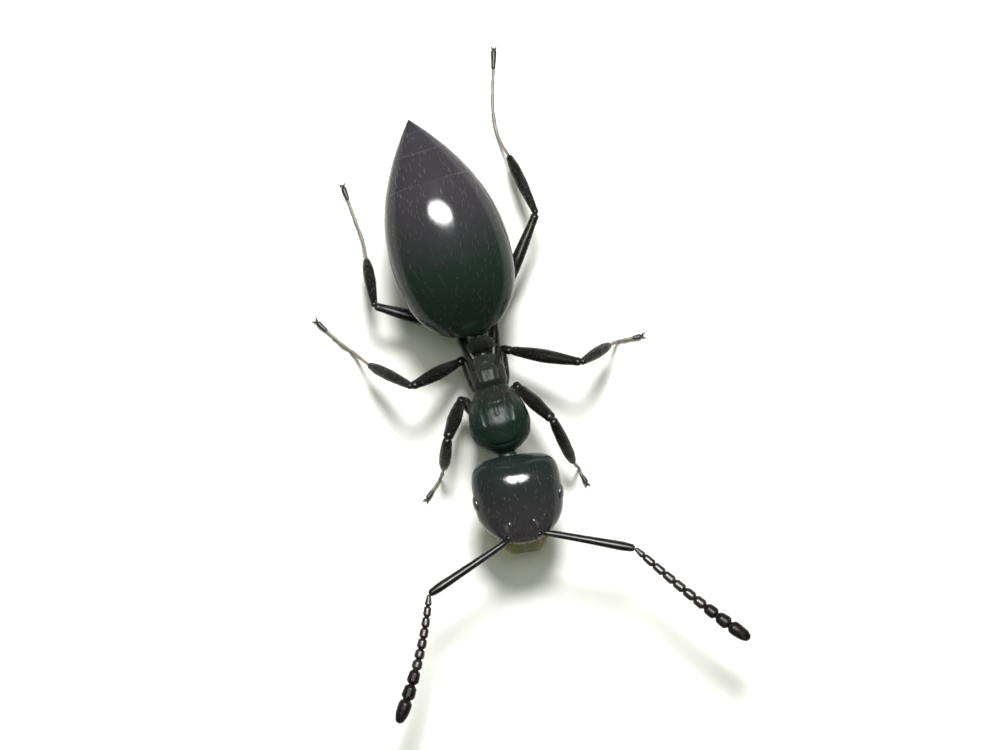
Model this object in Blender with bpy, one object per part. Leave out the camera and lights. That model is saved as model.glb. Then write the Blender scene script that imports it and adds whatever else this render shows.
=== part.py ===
"""Acrobat ant (a Crematogaster worker): a life-size still model of 43 closed solids.

Units are metres with +Z up. The ant stands on Z = 0, faces -Y, and its left side is +X.
Every hard plate that has a name is its own object. Neighbours are parted by thin gaps.
Limbs are thicker here than in life, and keep to the lines of the true limbs.
"""

import math

import bmesh
import bpy
from mathutils import Matrix, Vector

MM = 0.001
GAP = 0.016 * MM

# Head: a rounded box that narrows to the front, turned and nodded about its centre
HEAD_CENTRE = Vector((0.010, -1.230, 0.950)) * MM
HEAD_LENGTH = 1.13 * MM
HEAD_WIDTH = 1.08 * MM
HEAD_TOP = 0.36 * MM
HEAD_UNDER = 0.37 * MM
HEAD_YAW = math.radians(-5)
HEAD_NOD = math.radians(20)
HEAD_FRONT_ROUNDNESS = 3.0
HEAD_REAR_ROUNDNESS = 3.0
HEAD_FRONT_NARROWING = 0.28
HEAD_REAR_DENT = 0.035 * MM

EYE_RADII = (0.050 * MM, 0.125 * MM, 0.105 * MM)
EYE_PLACE = (0.494 * MM, 0.010 * MM, 0.050 * MM)
EYE_SLANT = math.radians(8)

MANDIBLE_LENGTH = 0.34 * MM
MANDIBLE_WIDTH = 0.29 * MM
MANDIBLE_THICKNESS = 0.15 * MM
MANDIBLE_ROOT = (0.160 * MM, -0.490 * MM, -0.105 * MM)

# Thorax: the rounded front half and the narrower rear half with its pair of spines.
# Each row is a section: place along Y, height, half width, half height above and below, in mm
PROMESONOTUM_ROWS = [
    (-0.665, 0.870, 0.110, 0.085, 0.085),
    (-0.605, 0.860, 0.225, 0.170, 0.150),
    (-0.500, 0.850, 0.342, 0.255, 0.225),
    (-0.300, 0.840, 0.388, 0.315, 0.275),
    (-0.100, 0.830, 0.348, 0.310, 0.300),
    (0.050, 0.810, 0.262, 0.250, 0.290),
    (0.150, 0.800, 0.212, 0.165, 0.265),
]
PROPODEUM_ROWS = [
    (0.166, 0.800, 0.212, 0.160, 0.260),
    (0.240, 0.795, 0.222, 0.205, 0.255),
    (0.380, 0.780, 0.222, 0.190, 0.245),
    (0.480, 0.750, 0.195, 0.130, 0.210),
    (0.560, 0.710, 0.115, 0.070, 0.110),
]
SPINE_ROOT = (0.125 * MM, 0.390 * MM, 0.850 * MM)
SPINE_TIP = (0.215 * MM, 0.650 * MM, 0.985 * MM)
SPINE_RADIUS = 0.050 * MM

# Waist: two small plates that climb to the upper front of the gaster, as rows of the same kind
PETIOLE_ROWS = [
    (0.580, 0.725, 0.095, 0.060, 0.080),
    (0.640, 0.765, 0.155, 0.080, 0.090),
    (0.720, 0.825, 0.165, 0.090, 0.090),
    (0.790, 0.880, 0.110, 0.070, 0.070),
]
POSTPETIOLE_ROWS = [
    (0.806, 0.900, 0.110, 0.065, 0.065),
    (0.860, 0.960, 0.170, 0.095, 0.095),
    (0.940, 1.025, 0.190, 0.105, 0.100),
    (1.020, 1.085, 0.135, 0.075, 0.075),
]

# Gaster: heart-shaped from above with a pointed tip, four plates in a row
GASTER_FRONT = Vector((-0.030, 0.800, 1.000)) * MM
GASTER_TIP = Vector((-0.215, 3.545, 1.210)) * MM
GASTER_HALF_WIDTH = 0.715 * MM
GASTER_TOP = 0.580 * MM
GASTER_UNDER = 0.520 * MM
GASTER_TOP_AT_FRONT = 0.22
GASTER_UNDER_AT_FRONT = 0.55
GASTER_FRONT_SHARE = 0.30
GASTER_WIDEST = 0.38
GASTER_FRONT_ROUNDNESS = 2.6
GASTER_SIDE_TAPER = 2.05
GASTER_TOP_TAPER = 2.20
GASTER_JOINTS = (0.67, 0.84, 0.94)

# Feelers: root, elbow, bend and tip of each, and half thicknesses along them
FEELERS = {
    "left": ((0.235, -1.695, 0.840), (1.250, -2.160, 1.030), (1.810, -2.960, 1.090), (2.350, -3.560, 1.020)),
    "right": ((-0.245, -1.745, 0.835), (-1.320, -2.120, 1.020), (-1.550, -2.830, 1.080), (-2.050, -3.560, 1.000)),
}
SCAPE_RADIUS = 0.195 * MM
FUNICLE_RADIUS = 0.195 * MM
CLUB_RADIUS = 0.240 * MM
FEELER_JOINT_RADIUS = 0.085 * MM
CLUB_SHARE = 0.60

# Legs: hip on the thorax, end of the coxa, start of the femur, knee, ankle, heel and toe on the floor
LEGS = {
    "fore_left": {
        "hip": (0.160, -0.300, 0.600), "coxa_end": (0.248, 0.078, 0.395), "trochanter": (0.330, 0.135, 0.420),
        "knee": (0.640, -0.400, 0.990), "ankle": (0.770, -0.985, 0.430), "heel": (0.825, -1.110, 0.200),
        "toe": (0.875, -1.320, 0.200), "femur": 0.195, "tibia": 0.205, "bow": (0.075, 0.020, -0.010),
    },
    "fore_right": {
        "hip": (-0.160, -0.300, 0.600), "coxa_end": (-0.290, 0.038, 0.398), "trochanter": (-0.380, 0.070, 0.420),
        "knee": (-0.665, -0.330, 0.955), "ankle": (-0.800, -0.690, 0.460), "heel": (-0.890, -0.800, 0.200),
        "toe": (-1.120, -1.040, 0.200), "femur": 0.175, "tibia": 0.190, "bow": (-0.055, 0.020, -0.010),
    },
    "mid_left": {
        "hip": (0.160, 0.100, 0.575), "coxa_end": (0.300, 0.530, 0.405), "trochanter": (0.345, 0.580, 0.425),
        "knee": (1.145, 0.225, 0.950), "ankle": (1.545, 0.320, 0.400), "heel": (1.660, 0.330, 0.200),
        "toe": (2.000, 0.338, 0.200), "femur": 0.240, "tibia": 0.225, "bow": (0.0, 0.0, 0.0),
    },
    "mid_right": {
        "hip": (-0.160, 0.100, 0.575), "coxa_end": (-0.310, 0.560, 0.405), "trochanter": (-0.355, 0.610, 0.425),
        "knee": (-0.935, 0.390, 0.980), "ankle": (-1.400, 0.770, 0.370), "heel": (-1.540, 0.960, 0.200),
        "toe": (-1.930, 1.430, 0.200), "femur": 0.225, "tibia": 0.225, "bow": (0.0, 0.0, 0.0),
    },
    "hind_left": {
        "hip": (0.115, 0.460, 0.560), "coxa_end": (0.188, 0.945, 0.410), "trochanter": (0.215, 1.000, 0.410),
        "knee": (1.035, 2.100, 0.650), "ankle": (0.880, 2.890, 0.250), "heel": (0.845, 3.080, 0.200),
        "toe": (1.000, 4.150, 0.200), "femur": 0.215, "tibia": 0.225, "bow": (0.010, 0.0, -0.100),
    },
    "hind_right": {
        "hip": (-0.115, 0.460, 0.560), "coxa_end": (-0.190, 0.930, 0.410), "trochanter": (-0.225, 0.980, 0.410),
        "knee": (-1.170, 1.450, 0.700), "ankle": (-1.130, 2.050, 0.280), "heel": (-1.115, 2.230, 0.200),
        "toe": (-1.210, 3.000, 0.200), "femur": 0.215, "tibia": 0.225, "bow": (0.0, -0.010, -0.100),
    },
}
COXA_RADIUS = 0.120 * MM
LIMB_END_RADIUS = 0.065 * MM
KNEE_RADIUS = 0.095 * MM
ANKLE_RADIUS = 0.085 * MM
TARSUS_RADIUS = 0.225 * MM
TOE_RADIUS = 0.130 * MM

BODY_SIDES = 24
LIMB_SIDES = 12

FINISHES = {
    "cuticle": ((0.012, 0.012, 0.011), 0.22),
    "limb_cuticle": ((0.022, 0.016, 0.014), 0.30),
    "feeler_cuticle": ((0.055, 0.022, 0.018), 0.34),
    "tarsus_cuticle": ((0.090, 0.066, 0.050), 0.40),
    "mandible_cuticle": ((0.080, 0.026, 0.014), 0.28),
    "eye": ((0.020, 0.020, 0.022), 0.16),
}


def clear_scene():
    for old in list(bpy.data.objects):
        bpy.data.objects.remove(old, do_unlink=True)


def finish(name):
    material = bpy.data.materials.get(name)
    if material is None:
        colour, roughness = FINISHES[name]
        material = bpy.data.materials.new(name)
        material.use_nodes = True
        shader = material.node_tree.nodes["Principled BSDF"]
        shader.inputs["Base Color"].default_value = (*colour, 1.0)
        shader.inputs["Roughness"].default_value = roughness
        shader.inputs["Metallic"].default_value = 0.0
    return material


def add_object(name, bm, material, cutter=False):
    """Close off a bmesh as an object, smooth where round."""
    bmesh.ops.recalc_face_normals(bm, faces=bm.faces)
    mesh = bpy.data.meshes.new(name)
    bm.to_mesh(mesh)
    bm.free()
    mesh.shade_smooth()
    mesh.set_sharp_from_angle(angle=math.radians(40))
    obj = bpy.data.objects.new(name, mesh)
    bpy.context.scene.collection.objects.link(obj)
    if cutter:
        obj.hide_render = True
        obj.display_type = "WIRE"
    else:
        mesh.materials.append(finish(material))
    return obj


def combine(obj, other, operation):
    """Join or cut obj with other, by a Boolean that stays on obj."""
    change = obj.modifiers.new(other.name, "BOOLEAN")
    change.operation = operation
    change.solver = "EXACT"
    change.object = other


def loft(bm, rings):
    """Bridge closed rings of points one after another and cap both ends."""
    loops = []
    for ring in rings:
        made = bmesh.ops.create_circle(bm, cap_ends=False, segments=len(ring), radius=1)
        for vert, place in zip(made["verts"], ring):
            vert.co = place
        loops.append(list({edge for vert in made["verts"] for edge in vert.link_edges}))
    for near, far in zip(loops, loops[1:]):
        bmesh.ops.bridge_loops(bm, edges=near + far)
    for end in (loops[0], loops[-1]):
        bmesh.ops.edgeloop_fill(bm, edges=end)


def section(y, height, width, top, under, squareness=2.0, sides=BODY_SIDES):
    """A ring across Y: half width, half heights above and below, rounder or squarer."""
    power = 2.0 / squareness
    ring = []
    for step in range(sides):
        turn = 2 * math.pi * (step + 0.5) / sides
        across = math.copysign(abs(math.cos(turn)) ** power, math.cos(turn))
        rise = math.copysign(abs(math.sin(turn)) ** power, math.sin(turn))
        ring.append(Vector((width * across, y, height + rise * (top if rise > 0 else under))))
    return ring


def between(table, y):
    """Smooth values at y from a table of rows that start with their y."""
    rows = [row for row in table if row[0] <= y] or table[:1]
    index = min(table.index(rows[-1]), len(table) - 2)
    start, end = table[index], table[index + 1]
    share = min(max((y - start[0]) / (end[0] - start[0]), 0.0), 1.0)
    before = table[max(index - 1, 0)]
    after = table[min(index + 2, len(table) - 1)]
    values = []
    for column in range(1, len(start)):
        step = end[column] - start[column]
        lead = (end[column] - before[column]) / 2 if before is not start else step
        trail = (after[column] - start[column]) / 2 if after is not end else step
        blend = share * share * (3 - 2 * share)
        values.append(start[column] + step * blend + lead * share * (1 - share) ** 2
                      - trail * share * share * (1 - share))
    return values


def head_frame():
    return (Matrix.Translation(HEAD_CENTRE) @ Matrix.Rotation(HEAD_YAW, 4, "Z")
            @ Matrix.Rotation(HEAD_NOD, 4, "X"))


def make_head():
    rings = []
    count = 14
    for step in range(count):
        along = -math.cos(math.pi * (step + 0.55) / (count + 0.1))
        front = max(-along, 0.0)
        roundness = HEAD_FRONT_ROUNDNESS if front else HEAD_REAR_ROUNDNESS
        fullness = (1 - abs(along) ** roundness) ** (1 / roundness)
        width = HEAD_WIDTH / 2 * fullness * (1 - HEAD_FRONT_NARROWING * front ** 2.2)
        low = 1 - 0.22 * front ** 2
        ring = section(along * HEAD_LENGTH / 2, 0.0, width, HEAD_TOP * fullness,
                       HEAD_UNDER * fullness * low, 2.25)
        dent = HEAD_REAR_DENT * max(along, 0.0) ** 3
        rings.append([place - Vector((0.0, dent * (1 - (place.x / (HEAD_WIDTH / 2)) ** 2), 0.0))
                      for place in ring])
    bm = bmesh.new()
    loft(bm, rings)
    bmesh.ops.transform(bm, matrix=head_frame(), verts=bm.verts)
    return add_object("head", bm, "cuticle")


def make_ball(name, centre_frame, radii, material, cutter=False, sides=14):
    bm = bmesh.new()
    bmesh.ops.create_uvsphere(bm, u_segments=sides, v_segments=sides // 2 + 1, radius=1)
    bmesh.ops.transform(bm, matrix=centre_frame @ Matrix.Diagonal((*radii, 1)), verts=bm.verts)
    return add_object(name, bm, material, cutter)


def make_eyes(head):
    for side, sign in (("left", 1), ("right", -1)):
        x, y, z = EYE_PLACE
        frame = head_frame() @ Matrix.Translation((sign * x, y, z))
        frame = frame @ Matrix.Rotation(sign * -EYE_SLANT, 4, "Z")
        make_ball(f"eye_{side}", frame, EYE_RADII, "eye")
        socket = make_ball(f"eye_socket_{side}", frame, [radius + GAP for radius in EYE_RADII],
                           None, cutter=True)
        combine(head, socket, "DIFFERENCE")


def make_mandibles():
    """Two curved blades that meet on the middle line below the front of the head."""
    for side, sign in (("left", 1), ("right", -1)):
        rings = []
        count = 7
        for step in range(count):
            share = step / (count - 1)
            inward = 0.085 * MM * math.sin(math.pi / 2 * share)
            width = MANDIBLE_WIDTH / 2 * (1 - 0.60 * share ** 2.2)
            thick = MANDIBLE_THICKNESS / 2 * (1 - 0.6 * share)
            centre_x = max(MANDIBLE_ROOT[0] - inward, width + GAP)
            ring = section(0.0, 0.0, width, thick, thick, 2.4, LIMB_SIDES)
            drop = -0.060 * MM * share
            ring = [point + Vector((centre_x, -MANDIBLE_LENGTH * share, drop)) for point in ring]
            rings.append([Vector((sign * point.x, point.y, point.z)) for point in ring])
        bm = bmesh.new()
        loft(bm, rings)
        root = Matrix.Translation((0.0, MANDIBLE_ROOT[1], MANDIBLE_ROOT[2]))
        bmesh.ops.transform(bm, matrix=head_frame() @ root, verts=bm.verts)
        yield side, add_object(f"mandible_{side}", bm, "mandible_cuticle")


def perpendicular_ring(centre, direction, normal, radius, sides):
    """A circle about direction, laid along it onto the plane through centre square to normal."""
    across = direction.cross(Vector((0.0, 0.0, 1.0)))
    if across.length < 0.05:
        across = direction.cross(Vector((0.0, 1.0, 0.0)))
    across.normalize()
    up = across.cross(direction).normalized()
    ring = []
    for step in range(sides):
        turn = 2 * math.pi * step / sides
        arm = (across * math.cos(turn) + up * math.sin(turn)) * radius
        arm -= direction * (arm.dot(normal) / direction.dot(normal))
        ring.append(centre + arm)
    return ring


def tube(path, radii, start_normal=None, end_normal=None, sides=LIMB_SIDES):
    """Rings along a path; an end normal mitres that end."""
    rings = []
    last = len(path) - 1
    for index, (place, radius) in enumerate(zip(path, radii)):
        inbound = (place - path[index - 1]).normalized() if index else None
        outbound = (path[index + 1] - place).normalized() if index < last else None
        if index == 0:
            direction, normal = outbound, start_normal or outbound
        elif index == last:
            direction, normal = inbound, end_normal or inbound
        else:
            direction = (inbound + outbound).normalized()
            normal = direction
        rings.append(perpendicular_ring(place, direction, normal, radius, sides))
    return rings


def straight(start, end, profile):
    """Places and radii along a straight line from shares of its length."""
    path = [start.lerp(end, share) for share, _ in profile]
    return path, [radius for _, radius in profile]


def add_limb(name, path, radii, material, start_normal=None, end_normal=None, cutter=False):
    bm = bmesh.new()
    loft(bm, tube(path, radii, start_normal, end_normal))
    return add_object(name, bm, material, cutter)


def point(values):
    return Vector(values) * MM


def mitre(before, joint, after):
    return ((joint - before).normalized() + (after - joint).normalized()).normalized()


def round_end(radius):
    """Shares of a radius for a blunt round end: distance in, radius."""
    return ((0.0, 0.45 * radius), (0.25 * radius, 0.80 * radius), (0.8 * radius, radius))


def bend_slope(before, joint, after):
    """How fast a limb may thicken away from a bent joint before it meets the next one."""
    inner = math.pi - (joint - before).angle(after - joint)
    return 0.92 * math.tan(inner / 2)


def swollen(length, ends, middle, start_slope=None, end_slope=None):
    """Shares and radii of a limb that swells in its middle: ends holds both end radii.

    An end with a slope is cut to a mitre and thickens no faster than that; the other is round.
    """
    first, last = ends
    profile = [(0.28, 0.25 * first + 0.75 * middle), (0.46, middle), (0.62, 0.96 * middle),
               (0.79, 0.45 * last + 0.55 * middle)]
    if start_slope:
        profile = [(share, min(radius, start_slope * share * length)) for share, radius in profile]
        profile.insert(0, (0.0, first))
    else:
        profile = [(away / length, radius) for away, radius in round_end(first)] + profile
    if end_slope:
        profile = [(share, min(radius, end_slope * (1 - share) * length)) for share, radius in profile]
        profile.append((1.0, last))
    return profile


def make_feeler(side, places, head):
    root, elbow, bend, tip = (point(place) for place in places)
    length = (elbow - root).length
    middle = GAP / 2
    normal = mitre(root, elbow, bend)
    scape_end = elbow - normal * middle
    profile = [(away / length, radius) for away, radius in round_end(FEELER_JOINT_RADIUS)]
    profile += [(0.30, 0.80 * SCAPE_RADIUS), (0.55, SCAPE_RADIUS), (0.82, SCAPE_RADIUS * 0.92),
                (1.0, FEELER_JOINT_RADIUS)]
    path, radii = straight(root, scape_end, profile)
    add_limb(f"antenna_{side}_scape", path, radii, "limb_cuticle", None, normal)
    wide = [radius + GAP for radius in radii[:4]]
    back = path[0] - (path[1] - path[0]).normalized() * GAP
    socket = add_limb(f"antenna_{side}_socket", [back] + path[1:4], wide, None, cutter=True)
    combine(head, socket, "DIFFERENCE")

    def along(share):
        return elbow.lerp(bend, share).lerp(bend.lerp(tip, share), share)

    def swell(share):
        return FUNICLE_RADIUS * (0.94 + 0.06 * share)

    part_normal = (along(CLUB_SHARE + 0.01) - along(CLUB_SHARE - 0.01)).normalized()
    shares = [0.0, 0.12, 0.24, 0.36, 0.48, CLUB_SHARE]
    path = [along(share) for share in shares]
    path[0] += normal * middle
    path[-1] -= part_normal * middle
    radii = [FEELER_JOINT_RADIUS] + [swell(share) for share in shares[1:-1]] + [FUNICLE_RADIUS * 0.85]
    add_limb(f"antenna_{side}_funicle", path, radii, "feeler_cuticle", normal, part_normal)
    shares = [CLUB_SHARE, 0.70, 0.80, 0.90, 0.97, 1.0]
    path = [along(share) for share in shares]
    path[0] += part_normal * middle
    radii = [FUNICLE_RADIUS * 0.85, CLUB_RADIUS * 0.94, CLUB_RADIUS, CLUB_RADIUS * 0.86,
             CLUB_RADIUS * 0.60, CLUB_RADIUS * 0.22]
    add_limb(f"antenna_{side}_club", path, radii, "feeler_cuticle", part_normal)


def make_plate(name, rows, steps, sides):
    """A closed body plate lofted through smooth sections between the rows."""
    rings = []
    for step in range(steps + 1):
        y = rows[0][0] + (rows[-1][0] - rows[0][0]) * step / steps
        height, width, top, under = (value * MM for value in between(rows, y))
        rings.append(section(y * MM, height, width, top, under, 2.2, sides))
    bm = bmesh.new()
    loft(bm, rings)
    return add_object(name, bm, "cuticle")


def make_thorax():
    made = [make_plate("promesonotum", PROMESONOTUM_ROWS, 12, 24),
            make_plate("propodeum", PROPODEUM_ROWS, 8, 24)]
    for sign in (1, -1):
        root = Vector(SPINE_ROOT)
        tip = Vector(SPINE_TIP)
        path, radii = straight(root, tip, [(0.0, SPINE_RADIUS), (0.4, SPINE_RADIUS * 0.78),
                                           (0.8, SPINE_RADIUS * 0.40), (1.0, SPINE_RADIUS * 0.16)])
        path = [Vector((sign * place.x, place.y, place.z)) for place in path]
        bm = bmesh.new()
        loft(bm, tube(path, radii, sides=8))
        spine = add_object(f"spine_{sign}", bm, None, cutter=True)
        combine(made[1], spine, "UNION")
    return made


def make_waist():
    return (make_plate("petiole", PETIOLE_ROWS, 5, 16),
            make_plate("postpetiole", POSTPETIOLE_ROWS, 5, 16))


def smooth_step(share):
    share = min(max(share, 0.0), 1.0)
    return share * share * (3 - 2 * share)


def gaster_fullness(share, taper):
    """A half size against the largest: round in front, then running to a point."""
    if share < GASTER_WIDEST:
        ahead = (GASTER_WIDEST - share) / GASTER_WIDEST
        return (1 - ahead ** GASTER_FRONT_ROUNDNESS) ** (1 / GASTER_FRONT_ROUNDNESS)
    behind = (share - GASTER_WIDEST) / (1 - GASTER_WIDEST)
    return 1 - behind ** taper


def make_gaster(postpetiole):
    axis = GASTER_TIP - GASTER_FRONT
    length = axis.length
    turn = Vector((0.0, 1.0, 0.0)).rotation_difference(axis).to_matrix().to_4x4()
    frame = Matrix.Translation(GASTER_FRONT) @ turn
    bounds = [0.0, *GASTER_JOINTS, 1.0]
    half_gap = GAP / 2 / length
    for number, (start, end) in enumerate(zip(bounds, bounds[1:]), 1):
        first = start + (half_gap if number > 1 else 0.004)
        last = end - (half_gap if number < 4 else 0.006)
        count = 11 if number == 1 else 4
        rings = []
        for step in range(count + 1):
            share = step / count
            if number == 1:
                share = share ** 1.6
            place = first + (last - first) * share
            full = gaster_fullness(place, GASTER_SIDE_TAPER)
            sag = -0.06 * MM * math.sin(math.pi * place)
            risen = smooth_step(place / GASTER_FRONT_SHARE)
            top = (GASTER_TOP * gaster_fullness(place, GASTER_TOP_TAPER)
                   * (GASTER_TOP_AT_FRONT + (1 - GASTER_TOP_AT_FRONT) * risen))
            under = GASTER_UNDER * full * (GASTER_UNDER_AT_FRONT + (1 - GASTER_UNDER_AT_FRONT) * risen)
            rings.append(section(place * length, sag, GASTER_HALF_WIDTH * full, top, under, 2.0))
        bm = bmesh.new()
        loft(bm, rings)
        bmesh.ops.transform(bm, matrix=frame, verts=bm.verts)
        plate = add_object(f"gaster_segment_{number}", bm, "cuticle")
        if number == 1:
            bm = bmesh.new()
            bm.from_mesh(postpetiole.data)
            middle = sum((vert.co for vert in bm.verts), Vector()) / len(bm.verts)
            for vert in bm.verts:
                vert.co += (vert.co - middle).normalized() * GAP
            combine(plate, add_object("postpetiole_seat", bm, None, cutter=True), "DIFFERENCE")


def make_leg(name, places, thorax):
    hip, coxa_end, trochanter, knee, ankle, heel, toe = (
        point(places[key]) for key in ("hip", "coxa_end", "trochanter", "knee", "ankle", "heel", "toe"))
    half = GAP / 2
    length = (coxa_end - hip).length
    profile = [(away / length, radius) for away, radius in round_end(COXA_RADIUS)]
    profile += [(0.62, COXA_RADIUS * 0.85)]
    profile += [(1 - away / length, radius) for away, radius in reversed(round_end(LIMB_END_RADIUS))]
    path, radii = straight(hip, coxa_end, profile)
    add_limb(f"leg_{name}_coxa", path, radii, "limb_cuticle")
    back = path[0] - (path[1] - path[0]).normalized() * GAP
    socket = add_limb(f"leg_{name}_socket", [back] + path[1:], [radius + GAP for radius in radii], None,
                      cutter=True)
    for plate in thorax:
        combine(plate, socket, "DIFFERENCE")

    knee_normal = mitre(trochanter, knee, ankle)
    ankle_normal = mitre(knee, ankle, heel)
    femur_end = knee - knee_normal * half
    length = (femur_end - trochanter).length
    knee_slope = bend_slope(trochanter, knee, ankle)
    ankle_slope = bend_slope(knee, ankle, heel)
    profile = swollen(length, (LIMB_END_RADIUS, KNEE_RADIUS), places["femur"] * MM, None, knee_slope)
    path, radii = straight(trochanter, femur_end, profile)
    path = [place + point(places["bow"]) * math.sin(math.pi * share)
            for place, (share, _) in zip(path, profile)]
    add_limb(f"leg_{name}_femur", path, radii, "limb_cuticle", None, knee_normal)

    start, end = knee + knee_normal * half, ankle - ankle_normal * half
    profile = swollen((end - start).length, (KNEE_RADIUS, ANKLE_RADIUS), places["tibia"] * MM,
                      knee_slope, ankle_slope)
    path, radii = straight(start, end, profile)
    add_limb(f"leg_{name}_tibia", path, radii, "limb_cuticle", knee_normal, ankle_normal)

    run = heel.lerp(toe, 0.5)
    path = [ankle + ankle_normal * half, ankle.lerp(heel, 0.75), heel.lerp(toe, 0.18), run,
            heel.lerp(toe, 0.82), toe]
    radii = [ANKLE_RADIUS, TARSUS_RADIUS * 0.82, TARSUS_RADIUS, TARSUS_RADIUS, TARSUS_RADIUS * 0.92, TOE_RADIUS]
    bm = bmesh.new()
    loft(bm, tube(path, radii, ankle_normal))
    everything = list(bm.verts) + list(bm.edges) + list(bm.faces)
    cut = bmesh.ops.bisect_plane(bm, geom=everything, plane_co=(0, 0, 0), plane_no=(0, 0, -1), clear_outer=True)
    rim = [item for item in cut["geom_cut"] if isinstance(item, bmesh.types.BMEdge)]
    bmesh.ops.edgeloop_fill(bm, edges=rim)
    add_object(f"leg_{name}_tarsus", bm, "tarsus_cuticle")


def centre_on_origin():
    """Slide everything in X and Y until the ant's outer box is centred on the origin."""
    pieces = [obj for obj in bpy.data.objects if not obj.hide_render]
    corners = [vert.co for obj in pieces for vert in obj.data.vertices]
    middle = [(min(place[axis] for place in corners) + max(place[axis] for place in corners)) / 2
              for axis in (0, 1)]
    for obj in bpy.data.objects:
        obj.location = (-middle[0], -middle[1], 0.0)


def main():
    clear_scene()
    head = make_head()
    make_eyes(head)
    for side, blade in list(make_mandibles()):
        bm = bmesh.new()
        bm.from_mesh(blade.data)
        middle = sum((vert.co for vert in bm.verts), Vector()) / len(bm.verts)
        for vert in bm.verts:
            vert.co += (vert.co - middle).normalized() * GAP
        combine(head, add_object(f"mandible_seat_{side}", bm, None, cutter=True), "DIFFERENCE")
    for side, places in FEELERS.items():
        make_feeler(side, places, head)
    thorax = make_thorax()
    petiole, postpetiole = make_waist()
    make_gaster(postpetiole)
    for name, places in LEGS.items():
        make_leg(name, places, thorax)
    centre_on_origin()


main()
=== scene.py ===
import math

import bmesh
import bpy
import numpy as np
from mathutils import Matrix, Vector


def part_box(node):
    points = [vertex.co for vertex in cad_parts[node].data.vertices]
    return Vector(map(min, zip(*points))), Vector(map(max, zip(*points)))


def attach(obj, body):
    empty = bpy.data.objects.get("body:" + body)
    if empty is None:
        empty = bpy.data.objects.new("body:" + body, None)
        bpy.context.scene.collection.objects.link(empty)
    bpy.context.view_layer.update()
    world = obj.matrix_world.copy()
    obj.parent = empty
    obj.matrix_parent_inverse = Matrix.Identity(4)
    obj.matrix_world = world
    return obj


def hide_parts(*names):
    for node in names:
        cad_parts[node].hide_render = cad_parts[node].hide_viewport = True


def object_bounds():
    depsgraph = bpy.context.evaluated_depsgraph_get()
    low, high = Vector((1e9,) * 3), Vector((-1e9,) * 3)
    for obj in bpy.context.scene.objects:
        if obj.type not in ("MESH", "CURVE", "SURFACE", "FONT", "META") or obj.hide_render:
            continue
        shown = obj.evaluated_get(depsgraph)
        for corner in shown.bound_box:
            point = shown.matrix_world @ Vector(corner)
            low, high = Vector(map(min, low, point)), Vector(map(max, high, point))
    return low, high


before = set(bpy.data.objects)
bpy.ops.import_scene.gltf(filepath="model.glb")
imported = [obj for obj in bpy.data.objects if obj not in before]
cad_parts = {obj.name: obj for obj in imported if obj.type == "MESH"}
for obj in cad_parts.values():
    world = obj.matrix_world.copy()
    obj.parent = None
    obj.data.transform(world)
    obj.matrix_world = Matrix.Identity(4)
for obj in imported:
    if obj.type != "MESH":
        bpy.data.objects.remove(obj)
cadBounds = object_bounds()
mm = 0.001  # shapes are worked out in millimetres and scaled to metres when a piece is finished

# the thorax stands on the middle line, so its plate gives the ant's own origin
low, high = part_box("promesonotum")
bodyOrigin = Vector(((low.x + high.x) / 2, high.y - 0.150 * mm, 0)) / mm


# how far corners may lie from the nearest or farthest one and still count, when the solids are read
nearEnough = {"joint": 0.012, "end": 0.025, "heel": 0.06, "sole": 1e-3}


def nodePoints(name):
    # the corners of a CAD node in mm
    return np.array([vert.co[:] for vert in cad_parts[name].data.vertices]) / mm


def jointOf(first, second):
    # the middle of the gap between two neighbouring nodes
    one, two = nodePoints(first), nodePoints(second)
    apart = np.linalg.norm(one[:, None] - two[None], axis=2)
    pairs = np.argwhere(apart < apart.min() + nearEnough["joint"])
    return Vector(((one[pairs[:, 0]] + two[pairs[:, 1]]) / 2).mean(0))


def farEndOf(name, point):
    # the middle of a node's end that lies farthest from a point
    corners = nodePoints(name)
    away = np.linalg.norm(corners - np.array(point), axis=1)
    return Vector(corners[away > away.max() - nearEnough["end"]].mean(0))


def wrapSurface(around, along, shape):
    # a grid rolled into a closed shell: shape gives points for turns (0 to 2 pi) and shares (0 to 1)
    bm = bmesh.new()
    bmesh.ops.create_grid(bm, x_segments=around, y_segments=along, size=0.5)
    flat = np.array([vert.co[:] for vert in bm.verts])
    points = shape((flat[:, 0] + 0.5) * 2 * math.pi, flat[:, 1] + 0.5)
    share = bm.verts.layers.float.new("along")
    skinMap = bm.loops.layers.uv.new("skinMap")
    for face in bm.faces:
        for loop in face.loops:
            loop[skinMap].uv = (loop.vert.co.x + 0.5, loop.vert.co.y + 0.5)
    for vert, point, place in zip(bm.verts, points, flat[:, 1] + 0.5):
        vert.co = point
        vert[share] = place
    bmesh.ops.remove_doubles(bm, verts=bm.verts, dist=1e-6)
    bmesh.ops.recalc_face_normals(bm, faces=bm.faces)
    return bm


def sectionPoints(turn, across, top, under, squareness):
    # a rounded section: half width, half height above and below
    power = 2 / squareness
    x = np.sign(np.cos(turn)) * np.abs(np.cos(turn)) ** power * across
    rise = np.sign(np.sin(turn)) * np.abs(np.sin(turn)) ** power
    return x, rise * np.where(rise > 0, top, under)


def smoothCurve(places, values, at, softness=0.06):
    # values between rows, with the corners rounded off
    places, values = np.array(places, float), np.array(values, float)
    fine = np.linspace(places[0], places[-1], 301)
    curve = np.interp(fine, places, values)
    half = max(int(softness * 300), 1)
    ends = (2 * curve[0] - curve[half:0:-1], curve, 2 * curve[-1] - curve[-2:-half - 2:-1])
    kernel = np.hanning(2 * half + 3)[1:-1]
    return np.interp(at, fine, np.convolve(np.concatenate(ends), kernel / kernel.sum(), "valid"))


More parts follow.
